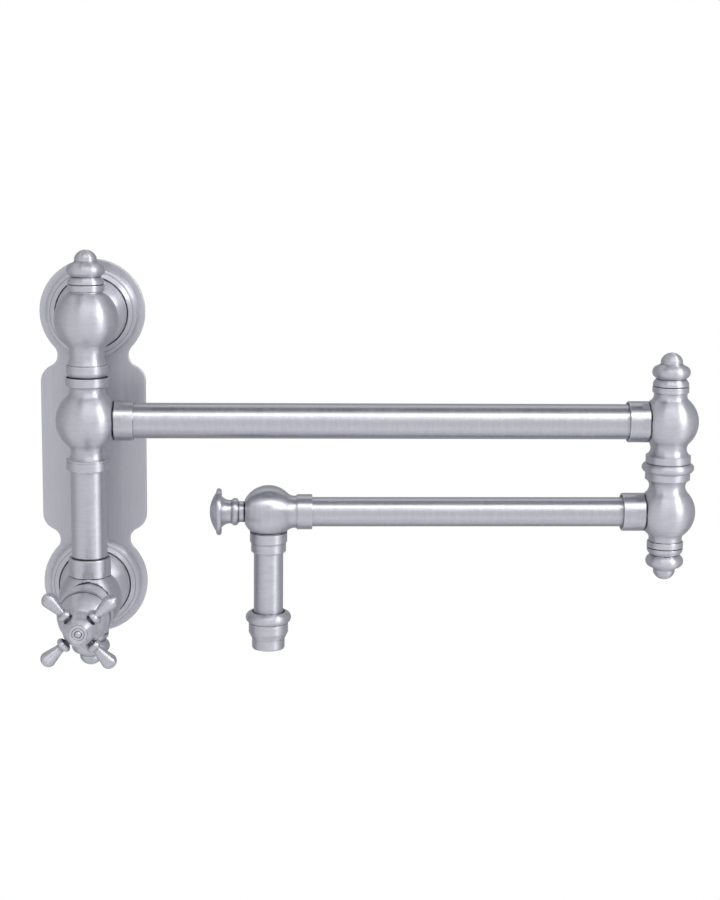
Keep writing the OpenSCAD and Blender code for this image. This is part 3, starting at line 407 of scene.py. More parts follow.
def makeGrain(name, axes, c):
    # noise stretched into lines: fine lines and short scratches make the grain, wide bands come out on their own
    tree, given, result = effect(name, c.inputs, ["Grain", "Band"])
    at = axes(tree)
    made = []
    for level, rise, detail in c.layers:
        scales = [given.outputs[scale] if isinstance(scale, str) else scale for scale in (level, level, rise)]
        parts = [times(tree, part, scale) for part, scale in zip(at, scales)]
        vector = add(tree, "CombineXYZ", dict(enumerate(parts))).outputs[0]
        made.append(noise(tree, vector, 1.0, detail, 0.65))
    fine, short, band = made
    fill(tree, result, {"Grain": weighted(tree, fine, 0.6, short), "Band": band})
    return tree


def makeEdgeWearAndShade(c):
    # handled edges are brighter, and hollow corners and joints are darkened by grime and painted shade, both
    # broken up by noise
    tree, given, result = effect("edgeWearAndShade", {"Amount": 1.0}, ["Wear", "GrimeAndShade"])
    edge = add(tree, "Attribute", attribute_name="edge").outputs["Fac"]
    patchy = noise(tree, add(tree, "TexCoord").outputs["Object"], c.patches, 3.0, 0.6)
    amount = times(tree, smooth(tree, patchy, *c.patchLimits), given.outputs["Amount"])
    hollow = times(tree, edge, -1.0)
    fill(tree, result, {"Wear": times(tree, smooth(tree, edge, *c.wornBends), amount),
                        "GrimeAndShade": times(tree, smooth(tree, hollow, *c.grimyBends), amount)})
    return tree


def makeToneDrift(c):
    # slow change of tone over a hand's width, with smaller clouds in it
    tree, given, result = effect("toneDrift", {"Scale": c.wide}, ["Drift"])
    at = add(tree, "TexCoord").outputs["Object"]
    wide = noise(tree, at, given.outputs["Scale"], 2.0, 0.5)
    small = noise(tree, at, c.small, 3.0, 0.6)
    fill(tree, result, {"Drift": weighted(tree, wide, c.wideShare, small)})
    return tree


effects = {"turned": makeGrain("turnedGrain", turnAxes, turnedGrain),
           "drawn": makeGrain("drawnGrain", objectAxes, drawnGrain),
           "wearAndShade": makeEdgeWearAndShade(edgeWearAndShade), "drift": makeToneDrift(toneDrift)}
print("shared effects made:", len(effects))

# Finishes
# the near-black colour darkens hollow corners and joints, for grime and painted shade
satin = named(dark=(0.45, 0.45, 0.5, 1), light=(0.59, 0.59, 0.645, 1), worn=(0.68, 0.68, 0.72, 1),
              grime=(0.03, 0.03, 0.033, 1), rough=0.41, anisotropy=0.87, acrossLines=0.25, bump=0.12,
              bumpDepth=0.00005, grainShare=0.55, brushShare=0.75, wornShare=0.45, grimeShare=0.95,
              bandSpread=(-0.04, 0.05), driftSpread=(-0.02, 0.03), wornSmoother=0.06, grimeRougher=0.15)
plateTone = named(dark=(0.425, 0.425, 0.47, 1), light=(0.53, 0.53, 0.58, 1), rough=0.46, anisotropy=0.4)


def brushedSteel(name, grain, c):
    # tone from grain, band and drift; worn edges lighter and smoother, grime and painted shade darker and rougher
    material, tree, shader = newMaterial(name)
    lines = placed(tree, grain)
    edges = placed(tree, "wearAndShade")
    drift = placed(tree, "drift")["Drift"]
    brushed = weighted(tree, lines["Grain"], c.grainShare, lines["Band"])
    tone = smooth(tree, weighted(tree, brushed, c.brushShare, drift), 0.3, 0.7)
    colour = blended(tree, tone, c.dark, c.light)
    colour = blended(tree, times(tree, edges["Wear"], c.wornShare), colour, c.worn)
    colour = blended(tree, times(tree, edges["GrimeAndShade"], c.grimeShare), colour, c.grime)
    banded = smooth(tree, lines["Band"], 0.3, 0.7, *[c.rough + part for part in c.bandSpread])
    rough = maths(tree, "ADD", banded, smooth(tree, drift, 0.35, 0.65, *c.driftSpread))
    rough = maths(tree, "SUBTRACT", rough, times(tree, edges["Wear"], c.wornSmoother))
    rough = maths(tree, "ADD", rough, times(tree, edges["GrimeAndShade"], c.grimeRougher))
    bump = add(tree, "Bump", {"Strength": c.bump, "Distance": c.bumpDepth, "Height": lines["Grain"]})
    fill(tree, shader, {"Base Color": colour, "Roughness": rough, "Normal": bump.outputs[0], "Metallic": 1.0,
                        "Anisotropic": c.anisotropy, "Anisotropic Rotation": c.acrossLines})
    if grain == "turned":
        fill(tree, shader, {"Tangent": add(tree, "Tangent", direction_type="UV_MAP", uv_map="turn").outputs[0]})
    return material


def plainFinish(name, dark, light, rough, metallic, scale, bump, sheen=0.0):
    # inner parts: mottled colour, uneven roughness and a fine surface
    material, tree, shader = newMaterial(name)
    at = add(tree, "TexCoord").outputs["Object"]
    drift = placed(tree, "drift", Scale=60.0)["Drift"]
    fine = noise(tree, at, scale, 4.0, 0.6)
    mottle = weighted(tree, fine, 0.4, drift)
    bumped = add(tree, "Bump", {"Strength": bump, "Distance": 0.00004, "Height": fine})
    fill(tree, shader, {"Base Color": blended(tree, smooth(tree, mottle, 0.35, 0.65), (*dark, 1), (*light, 1)),
                        "Roughness": smooth(tree, mottle, 0.3, 0.7, rough - 0.06, rough + 0.08),
                        "Normal": bumped.outputs[0], "Metallic": metallic, "Sheen Weight": sheen})
    return material


turnedSteel = brushedSteel("turnedSteel", "turned", satin)
plateSteel = brushedSteel("plateSteel", "drawn", named(satin, **plateTone))
# name, dark and light tone, roughness, metallic, scale of the mottle, bump and sheen of each slot
innerTones = {
    "plain_steel": ("plainSteel", (0.42, 0.42, 0.43), (0.55, 0.55, 0.56), 0.3, 1.0, 900, 0.15),
    "brass": ("machinedBrass", (0.5, 0.36, 0.14), (0.66, 0.49, 0.22), 0.3, 1.0, 1100, 0.2),
    "ceramic": ("lappedCeramic", (0.78, 0.77, 0.72), (0.86, 0.85, 0.81), 0.2, 0.0, 1500, 0.05),
    "rubber": ("sealRubber", (0.016, 0.016, 0.016), (0.03, 0.03, 0.03), 0.55, 0.0, 2200, 0.3, 0.1),
    "polymer": ("bearingPolymer", (0.68, 0.68, 0.62), (0.76, 0.76, 0.7), 0.42, 0.0, 1800, 0.12)}
# the pivot washer is made near-black, darker than its pale polymer slot, as painted shade for the dark gap between
# the post collar and the arm hub
washerTone = ("washerPaintedShade", (0.03, 0.03, 0.032), (0.06, 0.06, 0.062), 0.45, 0.0, 1800, 0.12)
innerFinishes = {slot: plainFinish(*values) for slot, values in innerTones.items()}
innerFinishes["brushed_stainless"] = turnedSteel
for part in frame["record"]["subparts"]:
    own = frame["nodes"][part["node"]].data.materials
    own.clear()
    own.append(innerFinishes[part["material_slot"]])
# the washer gets the near-black finish: painted shade in the gap
frame["nodes"]["pivot_washer"].data.materials[0] = plainFinish(*washerTone)
print("finishes made:", len(bpy.data.materials))


# Backplate
plate = named(thick=3, end=33.5, side=33.5, waist=22.6, waistCurve=8, shoulderCurve=11, bevel=0.5, hole=12.1)


def makeBackplate(c):
    # right half of the outline: round end, hollow waist, round shoulder and straight side, then its mirror image
    waistX = c.waist + c.waistCurve
    waistZ = np.sqrt((c.end + c.waistCurve) ** 2 - waistX ** 2)
    shoulderX = c.side - c.shoulderCurve
    shoulderZ = waistZ + np.sqrt((c.waistCurve + c.shoulderCurve) ** 2 - (waistX - shoulderX) ** 2)
    lean = np.degrees(np.arctan2(waistZ, waistX))
    tilt = np.degrees(np.arctan2(shoulderZ - waistZ, shoulderX - waistX))
    half = chain((0, -c.end), arc((0, 0), c.end, -89.9, lean, 60),
                 arc((waistX, waistZ), c.waistCurve, lean + 180, tilt, 24)[1:],
                 arc((shoulderX, shoulderZ), c.shoulderCurve, tilt - 180, 0, 24)[1:])[:, :2]
    half = chain(half, (half * [1, -1] + [0, postRise])[::-1])
    slope = np.gradient(half, axis=0)
    normal = np.stack([slope[:, 1], -slope[:, 0]], 1) / np.hypot(*slope.T)[:, None]
    normal[[0, -1]] = [[0, -1], [0, 1]]
    # each ring lies inset by some amount and at some depth; across runs from the right edge to the left
    turnRound = np.radians(np.linspace(0, 90, 6))
    inset = np.r_[c.bevel * (1 - np.sin(turnRound)), 0]
    depth = np.r_[c.thick - c.bevel * (1 - np.cos(turnRound)), 0]
    rims = half[:, None] - normal[:, None] * inset[None, :, None]
    flat = rims[:, :1]
    across = np.linspace(1, -1, 49)[None, 1:-1, None]
    inner = np.concatenate([flat[..., :1] * across, flat[..., 1:] + across * 0], 2)
    front = np.concatenate([rims[:, ::-1], inner, rims * [-1, 1]], 1)
    depths = np.r_[depth[::-1], np.full(across.shape[1], c.thick), depth]
    back = half[:, :1] * np.linspace(-1, 1, 9)[None, 1:-1]
    ring = np.concatenate([np.stack([front[..., 0], -depths + front[..., 0] * 0, front[..., 1]], -1),
                           np.stack([back, back * 0, half[:, 1:] + back * 0], -1)], 1)
    along = np.r_[0, np.cumsum(np.hypot(*np.diff(half, axis=0).T))]
    rimBend = np.full(len(depth) - 1, 1 / c.bevel)
    worn = np.r_[rimBend, np.zeros(across.shape[1] + 2), rimBend, np.zeros(back.shape[1])]
    obj = surface("backplateFace", ring[:, ::-1], along, np.tile(worn[::-1], (len(half), 1)), False)
    bored(obj, *[(c.hole, -2, c.thick + 2, (0, 0, z), "front") for z in (0, postRise)])
    finished(obj, "wall_fixing", "backplate", material=plateSteel)


makeBackplate(plate)

# Escutcheon rings
ring = named(hole=23, outer=29.4, foot=3, rim=6.4, slope=2.9, rise=3.6, edge=1.4)


def makeRing(name, z, node, c):
    shoulder = arc((0, 0), 1, 0, 84, 14) * [c.slope, c.rise, 0]
    shoulder = shoulder + [c.outer - c.slope, c.rim, 0]
    crest = c.rim + c.rise
    top = crest + c.edge
    rows = chain((c.hole, c.foot), (c.outer, c.foot, 0.2), shoulder, (c.outer - c.slope - 0.3, crest + 0.05, 0.5),
                 (c.hole + 0.5, top, 0.4), (c.hole, top - 0.6, 0.3))
    obj = turned(name, rows, (0, 0, z), "front", closed=True, steps=160)
    finished(obj, "wall_fixing", node)


makeRing("upperRing", postRise, "upper_escutcheon", ring)
makeRing("lowerRing", 0, "lower_escutcheon", ring)

# Wall posts, and the seats of the finials on posts and elbows
post = named(shank=12, bell=22.4, bellStraight=9, bellRound=16, neck=12.5, ball=19.9, stemEnd=8, anchor=4,
             anchorDepth=14, collar=12.9, collarTop=7.0, step=11.9, stepHeight=0.9, footEdge=11.8, bevel=2.4,
             footNeck=10.8, flare=10.3, throat=8.6, foot=35.1, seatThroat=0.9, pin=5.1, pinDepth=12.1)
seat = named(neck=10.5, ring=11.5, height=3.8, stud=5.1, studDepth=8, over=1.4, wall=21.6, elbow=22.6)


def postStem(z, c):
    face = plate.thick
    end = arcCos((c.neck - c.bell + c.bellRound) / c.bellRound)
    rows = chain((0, 0), (c.shank, 0, 0.3), (c.shank, face + 0.05), (c.bell, face + 0.05, 0.3),
                 (c.bell, face + 0.5), (c.bell, face + 0.9),
                 arc((c.bell - c.bellRound, face + c.bellStraight), c.bellRound, 0, end, 24),
                 (c.neck, axisOut - c.stemEnd), (0, axisOut - c.stemEnd))
    # painted shade on the stem inside the ring, up to just past the plate's face
    return turned("stem", rows, (0, 0, z), "front", steps=144, joints=[grime(0, face + 0.5)])


def seatRows(ball, top, curve, c):
    # neck and ring over a ball, up to the seat of the finial
    rows, lean = throat(ball, c.neck, curve)
    ringFoot = top - c.height
    return chain(rows, (c.neck, ringFoot, 0.2), (c.ring, ringFoot, 0.4), (c.ring, top, 0.3), (0, top)), lean


def studHole(top, origin, direction, c):
    # the hole for a finial's stud in a seat at the height top
    return c.stud, top - c.studDepth, top + c.over, origin, direction


def makeUpperPost(c):
    top, lean = seatRows(c.ball, seat.wall, c.seatThroat, seat)
    foot, collarAt = c.foot, c.foot - c.collarTop
    stepAt = collarAt - c.stepHeight
    hollow, tilt = waist(c.ball, c.footNeck, c.throat, c.step, c.flare, stepAt)
    lower = chain(hollow, (c.step, stepAt, 0.25), (c.step, collarAt, 0.1), (c.collar, collarAt, 0.4),
                  (c.collar, foot - c.bevel, 0.9), (c.footEdge, foot, 0.3), (0, foot))
    rows = chain(down(lower), arc((0, 0), c.ball, -tilt, lean, 64), top)
    obj = combine(turned("upperPost", rows, postBall, "up"), postStem(postRise, c), "UNION")
    bored(obj, (c.anchor, -1, c.anchorDepth, (0, 0, postRise), "front"),
          studHole(seat.wall, postBall, "up", seat), (c.pin, foot - c.pinDepth, foot + 1, postBall, "down"))
    finished(obj, "wall_fixing", "upper_post")


valve = named(bonnetNeck=13, bonnetNeckOut=30, boss=10.9, bossTop=25.4, inlet=9.3, inletDepth=16, inletWay=5.5,
              chamber=9.0, chamberBack=-4, way=6, socket=9.05, socketBottom=14.3, grimeFrom=14.2)


def makeValveBody(c):
    top, lean = seatRows(post.ball, seat.wall, post.seatThroat, seat)
    riserSide = arcCos(c.boss / post.ball)
    rows = chain(down(top), arc((0, 0), post.ball, -lean, riserSide, 64), (c.boss, c.bossTop, 0.3),
                 (0, c.bossTop))
    obj = combine(turned("valveBody", rows, valveBall, "up"), postStem(0, post), "UNION")
    neckRadius, out = c.bonnetNeck, c.bonnetNeckOut
    root = np.sqrt(post.ball ** 2 - neckRadius ** 2)
    neck = row((0, 0), (neckRadius, 0), (neckRadius, root + 0.4), (neckRadius, root + 0.8),
               (neckRadius, out, 0.3), (0, out))
    # painted shade round the root of the bonnet neck where it enters the ball
    combine(obj, turned("neck", neck, valveBall, "front", joints=[grime(0, root + 0.4)]), "UNION")
    bored(obj, (c.inlet, -1, c.inletDepth, (0, 0, 0), "front"), (c.inletWay, 1, axisOut, (0, 0, 0), "front"),
          (c.chamber, c.chamberBack, out + 1, valveBall, "front"), (c.way, 0.5, c.bossTop - 2, valveBall, "up"),
          (c.socket, c.socketBottom, c.bossTop + 1, valveBall, "up"),
          studHole(seat.wall, valveBall, "down", seat))
    # painted shade on the ball round the neck root, for the dark arc behind the bonnet barrel
    paintGrimeAndShade(obj, lambda p: (-p[:, 1] - axisOut > c.grimeFrom) &
           (np.hypot(p[:, 0], p[:, 2]) > neckRadius + 0.05) &
           (np.linalg.norm(p - valveBall, axis=1) > post.ball - 0.1))
    finished(obj, "wall_fixing", "valve_body")


makeUpperPost(post)
makeValveBody(valve)
print("wall fixing made")

# Finials
finial = named(stud=5, studLength=7, foot=10.2, gap=0.5, base=11.4, groove=9.3, bulge=12, bulgeAt=9.1,
               bulgeRound=4.1, tip=6.85, height=21.4, dome=4.8)


def makeFinial(name, node, body, origin, direction, c):
    domeCurve = (c.tip ** 2 + c.dome ** 2) / (2 * c.dome)
    edge = arcSin((domeCurve - c.dome) / domeCurve)
    rows = chain(
        (0, -c.studLength), (c.stud, -c.studLength, 0.6), (c.stud, 0), (c.foot, 0, 0.1), (c.foot, c.gap),
        (c.base, c.gap, 0.25), (c.base - 0.15, 2.4, 1.2), (c.base - 1.1, 3.9, 0.5), (c.groove, 4.9, 0.3),
        arc((c.bulge - c.bulgeRound, c.bulgeAt), c.bulgeRound, -64, 62, 26), (8.2, 13.4, 1.0),
        (c.tip + 0.15, 14.3, 0.8), (c.tip, c.height - c.dome - 0.1, 0.5),
        arc((0, c.height - domeCurve), domeCurve, edge, 90, 20))
    # painted shade in the recess under the finial's foot
    obj = turned(name, rows, origin, direction, joints=[grime(0, c.gap + 0.12)])
    finished(obj, body, node)


wallSeat, elbowSeat = [0, 0, seat.wall], [0, 0, seat.elbow]
makeFinial("postFinial", "post_finial", "wall_fixing", postBall + wallSeat, "up", finial)
makeFinial("valveFinial", "valve_finial", "wall_fixing", valveBall - wallSeat, "down", finial)
makeFinial("elbowTopFinial", "elbow_upper_finial", "first_arm", elbowTop + elbowSeat, "up", finial)
makeFinial("elbowLowFinial", "elbow_lower_finial", "second_arm", elbowLow - elbowSeat, "down",
           named(finial, stud=8.5))

# Arm hub and elbows
hub = named(ball=19.9, neck=10.8, throat=6.7, top=26, collar=13.4, collarHeight=4, step=12.4, lip=1.3,
            lipBore=12.95, flare=2.6, drop=30.8, foot=13.6, footHeight=6.6, footFlare=4.9, line=0.4, lineFrom=1,
            lineTo=1.4, nipple=8.8, nippleEnd=24.4, way=6, socket=11.2, bush=6.65, bushDepth=12.1)
elbow = named(ball=18.3, neck=11.4, throat=6.7, collar=14.2, collarHeight=4.6, flare=5.1, face=25.95,
              seatThroat=3.5, upperNipple=(8.8, 22.7), upperWay=6, spindle=8.1, spindleFrom=11.95,
              lowerNipple=(7.6, 24.7), lowerWay=5.2, pivot=6.55, nutBore=8.6, nutFloor=-10, overNipple=1.3,
              overFace=1.05)


def makeArmHub(c):
    collarFoot, lipTop = c.top - c.collarHeight, c.top + c.lip
    hollow, lean = waist(c.ball, c.neck, c.throat, c.step, c.flare, collarFoot)
    upper = chain(hollow, (c.step, collarFoot), (c.collar, collarFoot, 0.4), (c.collar, lipTop, 0.15),
                  (c.lipBore, lipTop, 0.1), (c.lipBore, lipTop - 0.3), (c.lipBore, c.top), (0, c.top))
    footAt, line = c.drop - c.footHeight, c.foot - c.line
    lineFrom, lineTo = footAt + c.lineFrom, footAt + c.lineTo
    lower = chain(waist(c.ball, c.neck, c.throat, line, c.footFlare, footAt)[0], (line, footAt),
                  (c.foot, footAt, 0.2), (c.foot, lineFrom, 0.15), (line, lineFrom), (line, lineTo),
                  (c.foot, lineTo, 0.15), (c.foot, c.drop, 0.4), (0, c.drop))
    rows = chain(down(lower), arc((0, 0), c.ball, -lean, lean, 64), upper)
    # painted shade inside the lip of the hub's collar
    joints = [grime(c.top, lipTop - 0.25, c.lipBore + 0.05)]
    obj = turned("armHub", rows, hubBall, "up", joints=joints)
    branched(obj, c.nipple, c.nippleEnd, hubBall, "right")
    bored(obj, (c.socket, footAt, c.drop + 1, hubBall, "down"), (c.way, -c.way, c.drop, hubBall, "down"),
          (c.way, 0, c.nippleEnd + 1, hubBall, "right"), (c.bush, c.top - c.bushDepth, c.top + 1, hubBall, "up"))
    finished(obj, "first_arm", "arm_hub")


def elbowForm(name, origin, collarWay, c):
    top, lean = seatRows(c.ball, seat.elbow, c.seatThroat, seat)
    collarFoot = c.face - c.collarHeight
    hollow, tilt = waist(c.ball, c.neck, c.throat, c.collar - 0.1, c.flare, collarFoot)
    lower = chain(hollow, (c.collar, collarFoot, 0.2), (c.collar, c.face, 0.4), (0, c.face))
    rows = chain(down(top), arc((0, 0), c.ball, -lean, tilt, 64), lower)
    return turned(name, rows, origin, collarWay)


def makeElbows(c):
    overFace = c.face + c.overFace
    (upperNipple, upperEnd), (lowerNipple, lowerEnd) = c.upperNipple, c.lowerNipple
    obj = branched(elbowForm("elbowTop", elbowTop, "down", c), upperNipple, upperEnd, elbowTop, "left")
    bored(obj, (c.upperWay, 0, upperEnd + c.overNipple, elbowTop, "left"),
          (c.upperWay, -c.upperWay, overFace, elbowTop, "down"),
          (c.spindle, c.spindleFrom, overFace, elbowTop, "down"), studHole(seat.elbow, elbowTop, "up", seat))
    finished(obj, "first_arm", "elbow_upper")
    obj = branched(elbowForm("elbowLow", elbowLow, "up", c), lowerNipple, lowerEnd, elbowLow, "left")
    bored(obj, (c.lowerWay, 0, lowerEnd + c.overNipple, elbowLow, "left"), (c.pivot, 0, overFace, elbowLow, "up"),
          (c.nutBore, c.nutFloor, seat.elbow + seat.over, elbowLow, "down"))
    finished(obj, "second_arm", "elbow_lower")


makeArmHub(hub)
makeElbows(elbow)

bead = named(radius=16.5, height=5.8, bore=6.8)


def makeBeadRing(c):
    half = c.height / 2
    rows = chain((c.bore, 0.3, 0.2), arc((c.radius - half, half), half, -86, 86, 26),
                 (c.bore, c.height - 0.3, 0.2))
    obj = turned("elbowBead", rows, elbowLow + [0, 0, elbow.face], "up", closed=True)
    finished(obj, "second_arm", "elbow_bead_ring")


makeBeadRing(bead)
print("hub and elbows made")

# Nuts and tubes
nuts = named(flat=0.965, shareOfFlats=0.46, entry=4, gap=0.5, play=0.1)
couplings = {
    "arm1InnerNut": named(node="arm1_inner_nut", body="first_arm", origin=hubBall, way="right", radius=12.5,
                          start=15.2, end=28.4, nipple=8.8, tube=11.1, ball=19.9),
    "arm1OuterNut": named(node="arm1_outer_nut", body="first_arm", origin=elbowTop, way="left", radius=13,
                          start=11.8, end=26.7, nipple=8.8, tube=11.1, ball=18.3),
    "arm2Nut": named(node="arm2_nut", body="second_arm", origin=elbowLow, way="left", radius=12.1, start=13.6,
                     end=28.7, nipple=7.6, tube=9.3, ball=18.3),
    "riserGland": named(node="riser_gland_nut", body="wall_fixing", origin=valveBall, way="up", entry=1.3,
                        radius=13.2, start=12.6, end=26.8, nipple=10.9, tube=9.0, ball=19.5)}
wideTube, slimTube = {"radius": 11.1, "bore": 9.7}, {"radius": 9.3, "bore": 8.1}
tubes = {
    "arm1Tube": named(node="arm1_tube", body="first_arm", origin=hubBall, way="right", **wideTube,
                      start=hub.nippleEnd, end=elbowX - elbow.upperNipple[1]),
    "arm2Tube": named(node="arm2_tube", body="second_arm", origin=elbowLow, way="left", **slimTube,
                      start=elbow.lowerNipple[1], end=elbowX - spoutX - 21.4),
    "riserTube": named(node="riser_tube", body="first_arm", origin=valveBall, way="up", **wideTube, start=27.3,
                       end=arm1Z - 24.3)}


def makeCoupling(name, c):
    # the inner end follows the ball at a gap, and flats are milled over the part of the length nearest the ball
    r, start, end, cut = c.radius, c.start, c.end, c.ball + c.gap
    mouth, clear, inner = c.tube + c.play, c.nipple + c.play, end - c.entry
    flatEnd = start + (end - start) * c.shareOfFlats
    outside, inside = arcCos(r / cut), arcCos(clear / cut)
    seatAt = cut * np.sin(np.radians(outside))
    rows = chain(arc((0, 0), cut, inside, outside, 10)[:-1], (r, seatAt, 0.2), (r, seatAt + 0.4),
                 (r, seatAt + 0.7), (r, flatEnd - 0.3), (r, flatEnd), (r, flatEnd + 0.05), (r, end, 0.45),
                 (mouth, end, 0.1), (mouth, inner), (clear, inner))
    flats = named(to=flatEnd, flat=r * c.flat, above=r * 0.8)
    # painted shade at the nut's seat on the ball and in its mouth round the tube
    joints = [grime(-50, seatAt + 0.4), grime(end - 0.3, end, c.tube + 0.4)]
    obj = turned(name, rows, c.origin, c.way, closed=True, flats=flats, steps=144, joints=joints)
    finished(obj, c.body, c.node)


def makeTube(name, c):
    r, bore, start, end = c.radius, c.bore, c.start, c.end
    stations = np.r_[start + 0.3, np.linspace(start + 0.7, end - 0.7, 24), end - 0.3]
    rows = chain((bore, start, 0.2), (r, start, 0.2), stations[:, None] * [0, 1, 0] + [r, 0, 0], (r, end, 0.2),
                 (bore, end, 0.2))
    # painted shade at both ends of the tube, where it enters the nuts
    joints = [grime(start, start + 0.3), grime(end - 0.3, end)]
    obj = turned(name, rows, c.origin, c.way, closed=True, steps=144, joints=joints)
    finished(obj, c.body, c.node)


for name, coupling in couplings.items():
    makeCoupling(name, named(nuts, **coupling))
for name, tube in tubes.items():
    makeTube(name, tube)
print("nuts and tubes made")

# Bonnet and cross handle
bonnet = named(back=27.4, barrel=17.2, barrelCurve=40, barrelOut=46.6, groove=15.2, grooveTo=47.6, dome=16.3,
               domeCentre=44, out=62.3, end=7.4, wall=2.2, neck=13.1, neckTo=34.4, stem=4.3)


def makeBonnet(c):
    back, rim, grooveTo = c.back, c.barrelOut, c.grooveTo
    half = (rim - back) / 2
    lean = arcSin(half / c.barrelCurve)
    barrel = arc((c.barrel - c.barrelCurve, back + half), c.barrelCurve, -lean * 0.86, lean * 0.9, 24)
    edge = c.barrel - c.barrelCurve * (1 - np.cos(np.radians(lean)))
    domeCurve = ((c.dome - c.end) ** 2 + (c.out - c.domeCentre) ** 2) / (2 * (c.dome - c.end))
    centre = c.dome - domeCurve
    inner, innerOut = domeCurve - c.wall, c.out - c.wall

    def angleAt(height, curve):
        return arcSin((height - c.domeCentre) / curve)

    first, last = angleAt(grooveTo, domeCurve), angleAt(c.out, domeCurve)
    rows = chain(
        (c.neck, back, 0.2), (edge - 0.2, back, 0.9), barrel, (edge, rim - 0.1, 0.7), (c.groove, rim + 0.1, 0.15),
        (c.groove, grooveTo, 0.1), (centre + domeCurve * np.cos(np.radians(first)), grooveTo, 0.35),
        arc((centre, c.domeCentre), domeCurve, first + 1.5, last - 1, 40), (c.end, c.out, 0.3),
        (c.stem, c.out, 0.2), (c.stem, innerOut),
        arc((centre, c.domeCentre), inner, angleAt(innerOut, inner), angleAt(c.neckTo, inner), 12),
        (c.neck, c.neckTo))
    # painted shade: a soft dark band and a dark line at the back of the barrel, and a soft and a dark band at the
    # groove before the dome
    joints = [grime(back, back + 3.4, depth=1.5), grime(back, back + 1.3),
              grime(rim - 2.4, grooveTo + 0.8, depth=1.2), grime(rim - 0.4, grooveTo + 0.3, depth=2)]
    obj = turned("bonnetShell", rows, valveBall, "front", closed=True, steps=144, joints=joints)
    finished(obj, "wall_fixing", "bonnet")


makeBonnet(bonnet)

handle = named(curve=16.5, centre=72.5, radius=10.5, back=62.6, front=84, rim=5.5, rimHeight=0.8, well=3.75,
               wellDepth=2.6, spokesAt=76.5, angle=43, root=10.6, tip=30, stud=2.2, studLength=4, bead=4.7,
               beadLength=4.2, beadRound=1.95, waist=2.65, end=4.9, flareAt=26.1, hexHole=3.5, screwHole=1.7,
               screwFrom=6, headHole=3.1, web=3.2, grimeFrom=5, grimeWithin=3.3)
spokeCentre = valveBall + [0, -handle.spokesAt, 0]


def spokeWay(index):
    angle = np.radians(handle.angle + 90 * index)
    return np.cos(angle), 0, np.sin(angle)


def makeHandleHub(c):
    back = arcSin((c.back - c.centre) / c.curve)
    front = arcSin((c.front - c.centre) / c.curve)
    top = c.front + c.rimHeight
    floor = top - c.wellDepth
    rows = chain(
        (0, c.back), (c.radius - c.curve * (1 - np.cos(np.radians(back))), c.back, 0.3),
        arc((c.radius - c.curve, c.centre), c.curve, back + 2, front - 1, 48), (c.rim + 0.3, c.front, 0.15),
        (c.rim, c.front, 0.1), (c.rim, top, 0.25), (c.well, top, 0.25), (c.well, floor), (0, floor))
    # painted shade along the back edge of the hub
    obj = turned("handleHub", rows, valveBall, "front", joints=[grime(c.back, c.back + 0.8, depth=3)])
    studs = [(c.stud + 0.1, c.root - c.studLength - 0.1, c.root + 2, spokeCentre, spokeWay(i)) for i in range(4)]
    bored(obj, *studs, (c.screwHole, c.spokesAt - c.screwFrom, c.front, valveBall, "front"),
          (c.headHole, c.spokesAt + c.web, c.front, valveBall, "front"))
    bored(obj, (c.hexHole, c.back - 1, c.spokesAt - c.web, valveBall, "front"), steps=6)
    # painted shade on the hub round each spoke's root
    for i in range(4):
        way = np.array(spokeWay(i))
        paintGrimeAndShade(obj, lambda p: ((p - spokeCentre) @ way > c.grimeFrom) &
               (np.linalg.norm(np.cross(p - spokeCentre, way), axis=1) < c.grimeWithin))
    finished(obj, "cross_handle", "handle_hub")


def makeSpoke(index, c):
    root, waistAt = c.root, c.root + c.beadLength
    rows = chain((0, root - c.studLength), (c.stud, root - c.studLength, 0.3), (c.stud, root),
                 (c.bead - 1.7, root, 0.3), arc((c.bead - c.beadRound, root + 2.1), c.beadRound, -58, 66, 20),
                 (c.waist + 0.25, waistAt + 0.1, 0.5), (c.waist, waistAt + 0.9, 0.9),
                 (c.end - 0.06, c.flareAt - 0.5, 2.5), arc((0, c.tip - c.end), c.end, 18, 90, 26))
    # painted shade at the spoke's root against the hub
    joints = [grime(root - 0.1, root + 0.4)]
    obj = turned("spoke%d" % (index + 1), rows, spokeCentre, spokeWay(index), steps=96, joints=joints)
    finished(obj, "cross_handle", "handle_spoke_%d" % (index + 1))


makeHandleHub(handle)
for index in range(4):
    makeSpoke(index, handle)

button = named(radius=3.6, back=82.2, front=84.8, dome=0.8, curve=2.6, step=2.3)


def makeButton(c):
    face = c.front - 0.05
    rows = chain((0, c.back), (c.radius, c.back, 0.1), (c.radius, c.front, 0.3), (c.step, c.front + 0.1, 0.15),
                 (c.step, face, 0.1), arc((0, c.front + c.dome - c.curve), c.curve, 42, 90, 18))
    # painted shade on the button's side, down in the hub's well
    obj = turned("indexButton", rows, valveBall, "front", steps=96, joints=[grime(c.back, face, depth=3)])
    finished(obj, "cross_handle", "index_button")


makeButton(button)
print("bonnet and handle made")

# Spout end
spout = named(ball=16.8, face=14.9, neck=10.1, throat=7.2, flare=2.2, collar=11.1, collarFrom=18, collarTo=27.4,
              boss=8, bossDown=18, socket=9.4, seat=6, way=5.2, cartridge=6.5, cartridgeBack=-8, nut=11.8,
              nutFrom=8, nutTop=12.8, nutHeight=6, step=11.05, stepHeight=5.2, chamfer=1, ballGap=0.35)
spoutTube = named(node="spout_tube", body="second_arm", origin=spoutBall, way="down", **slimTube, start=18.1,
                  end=75)


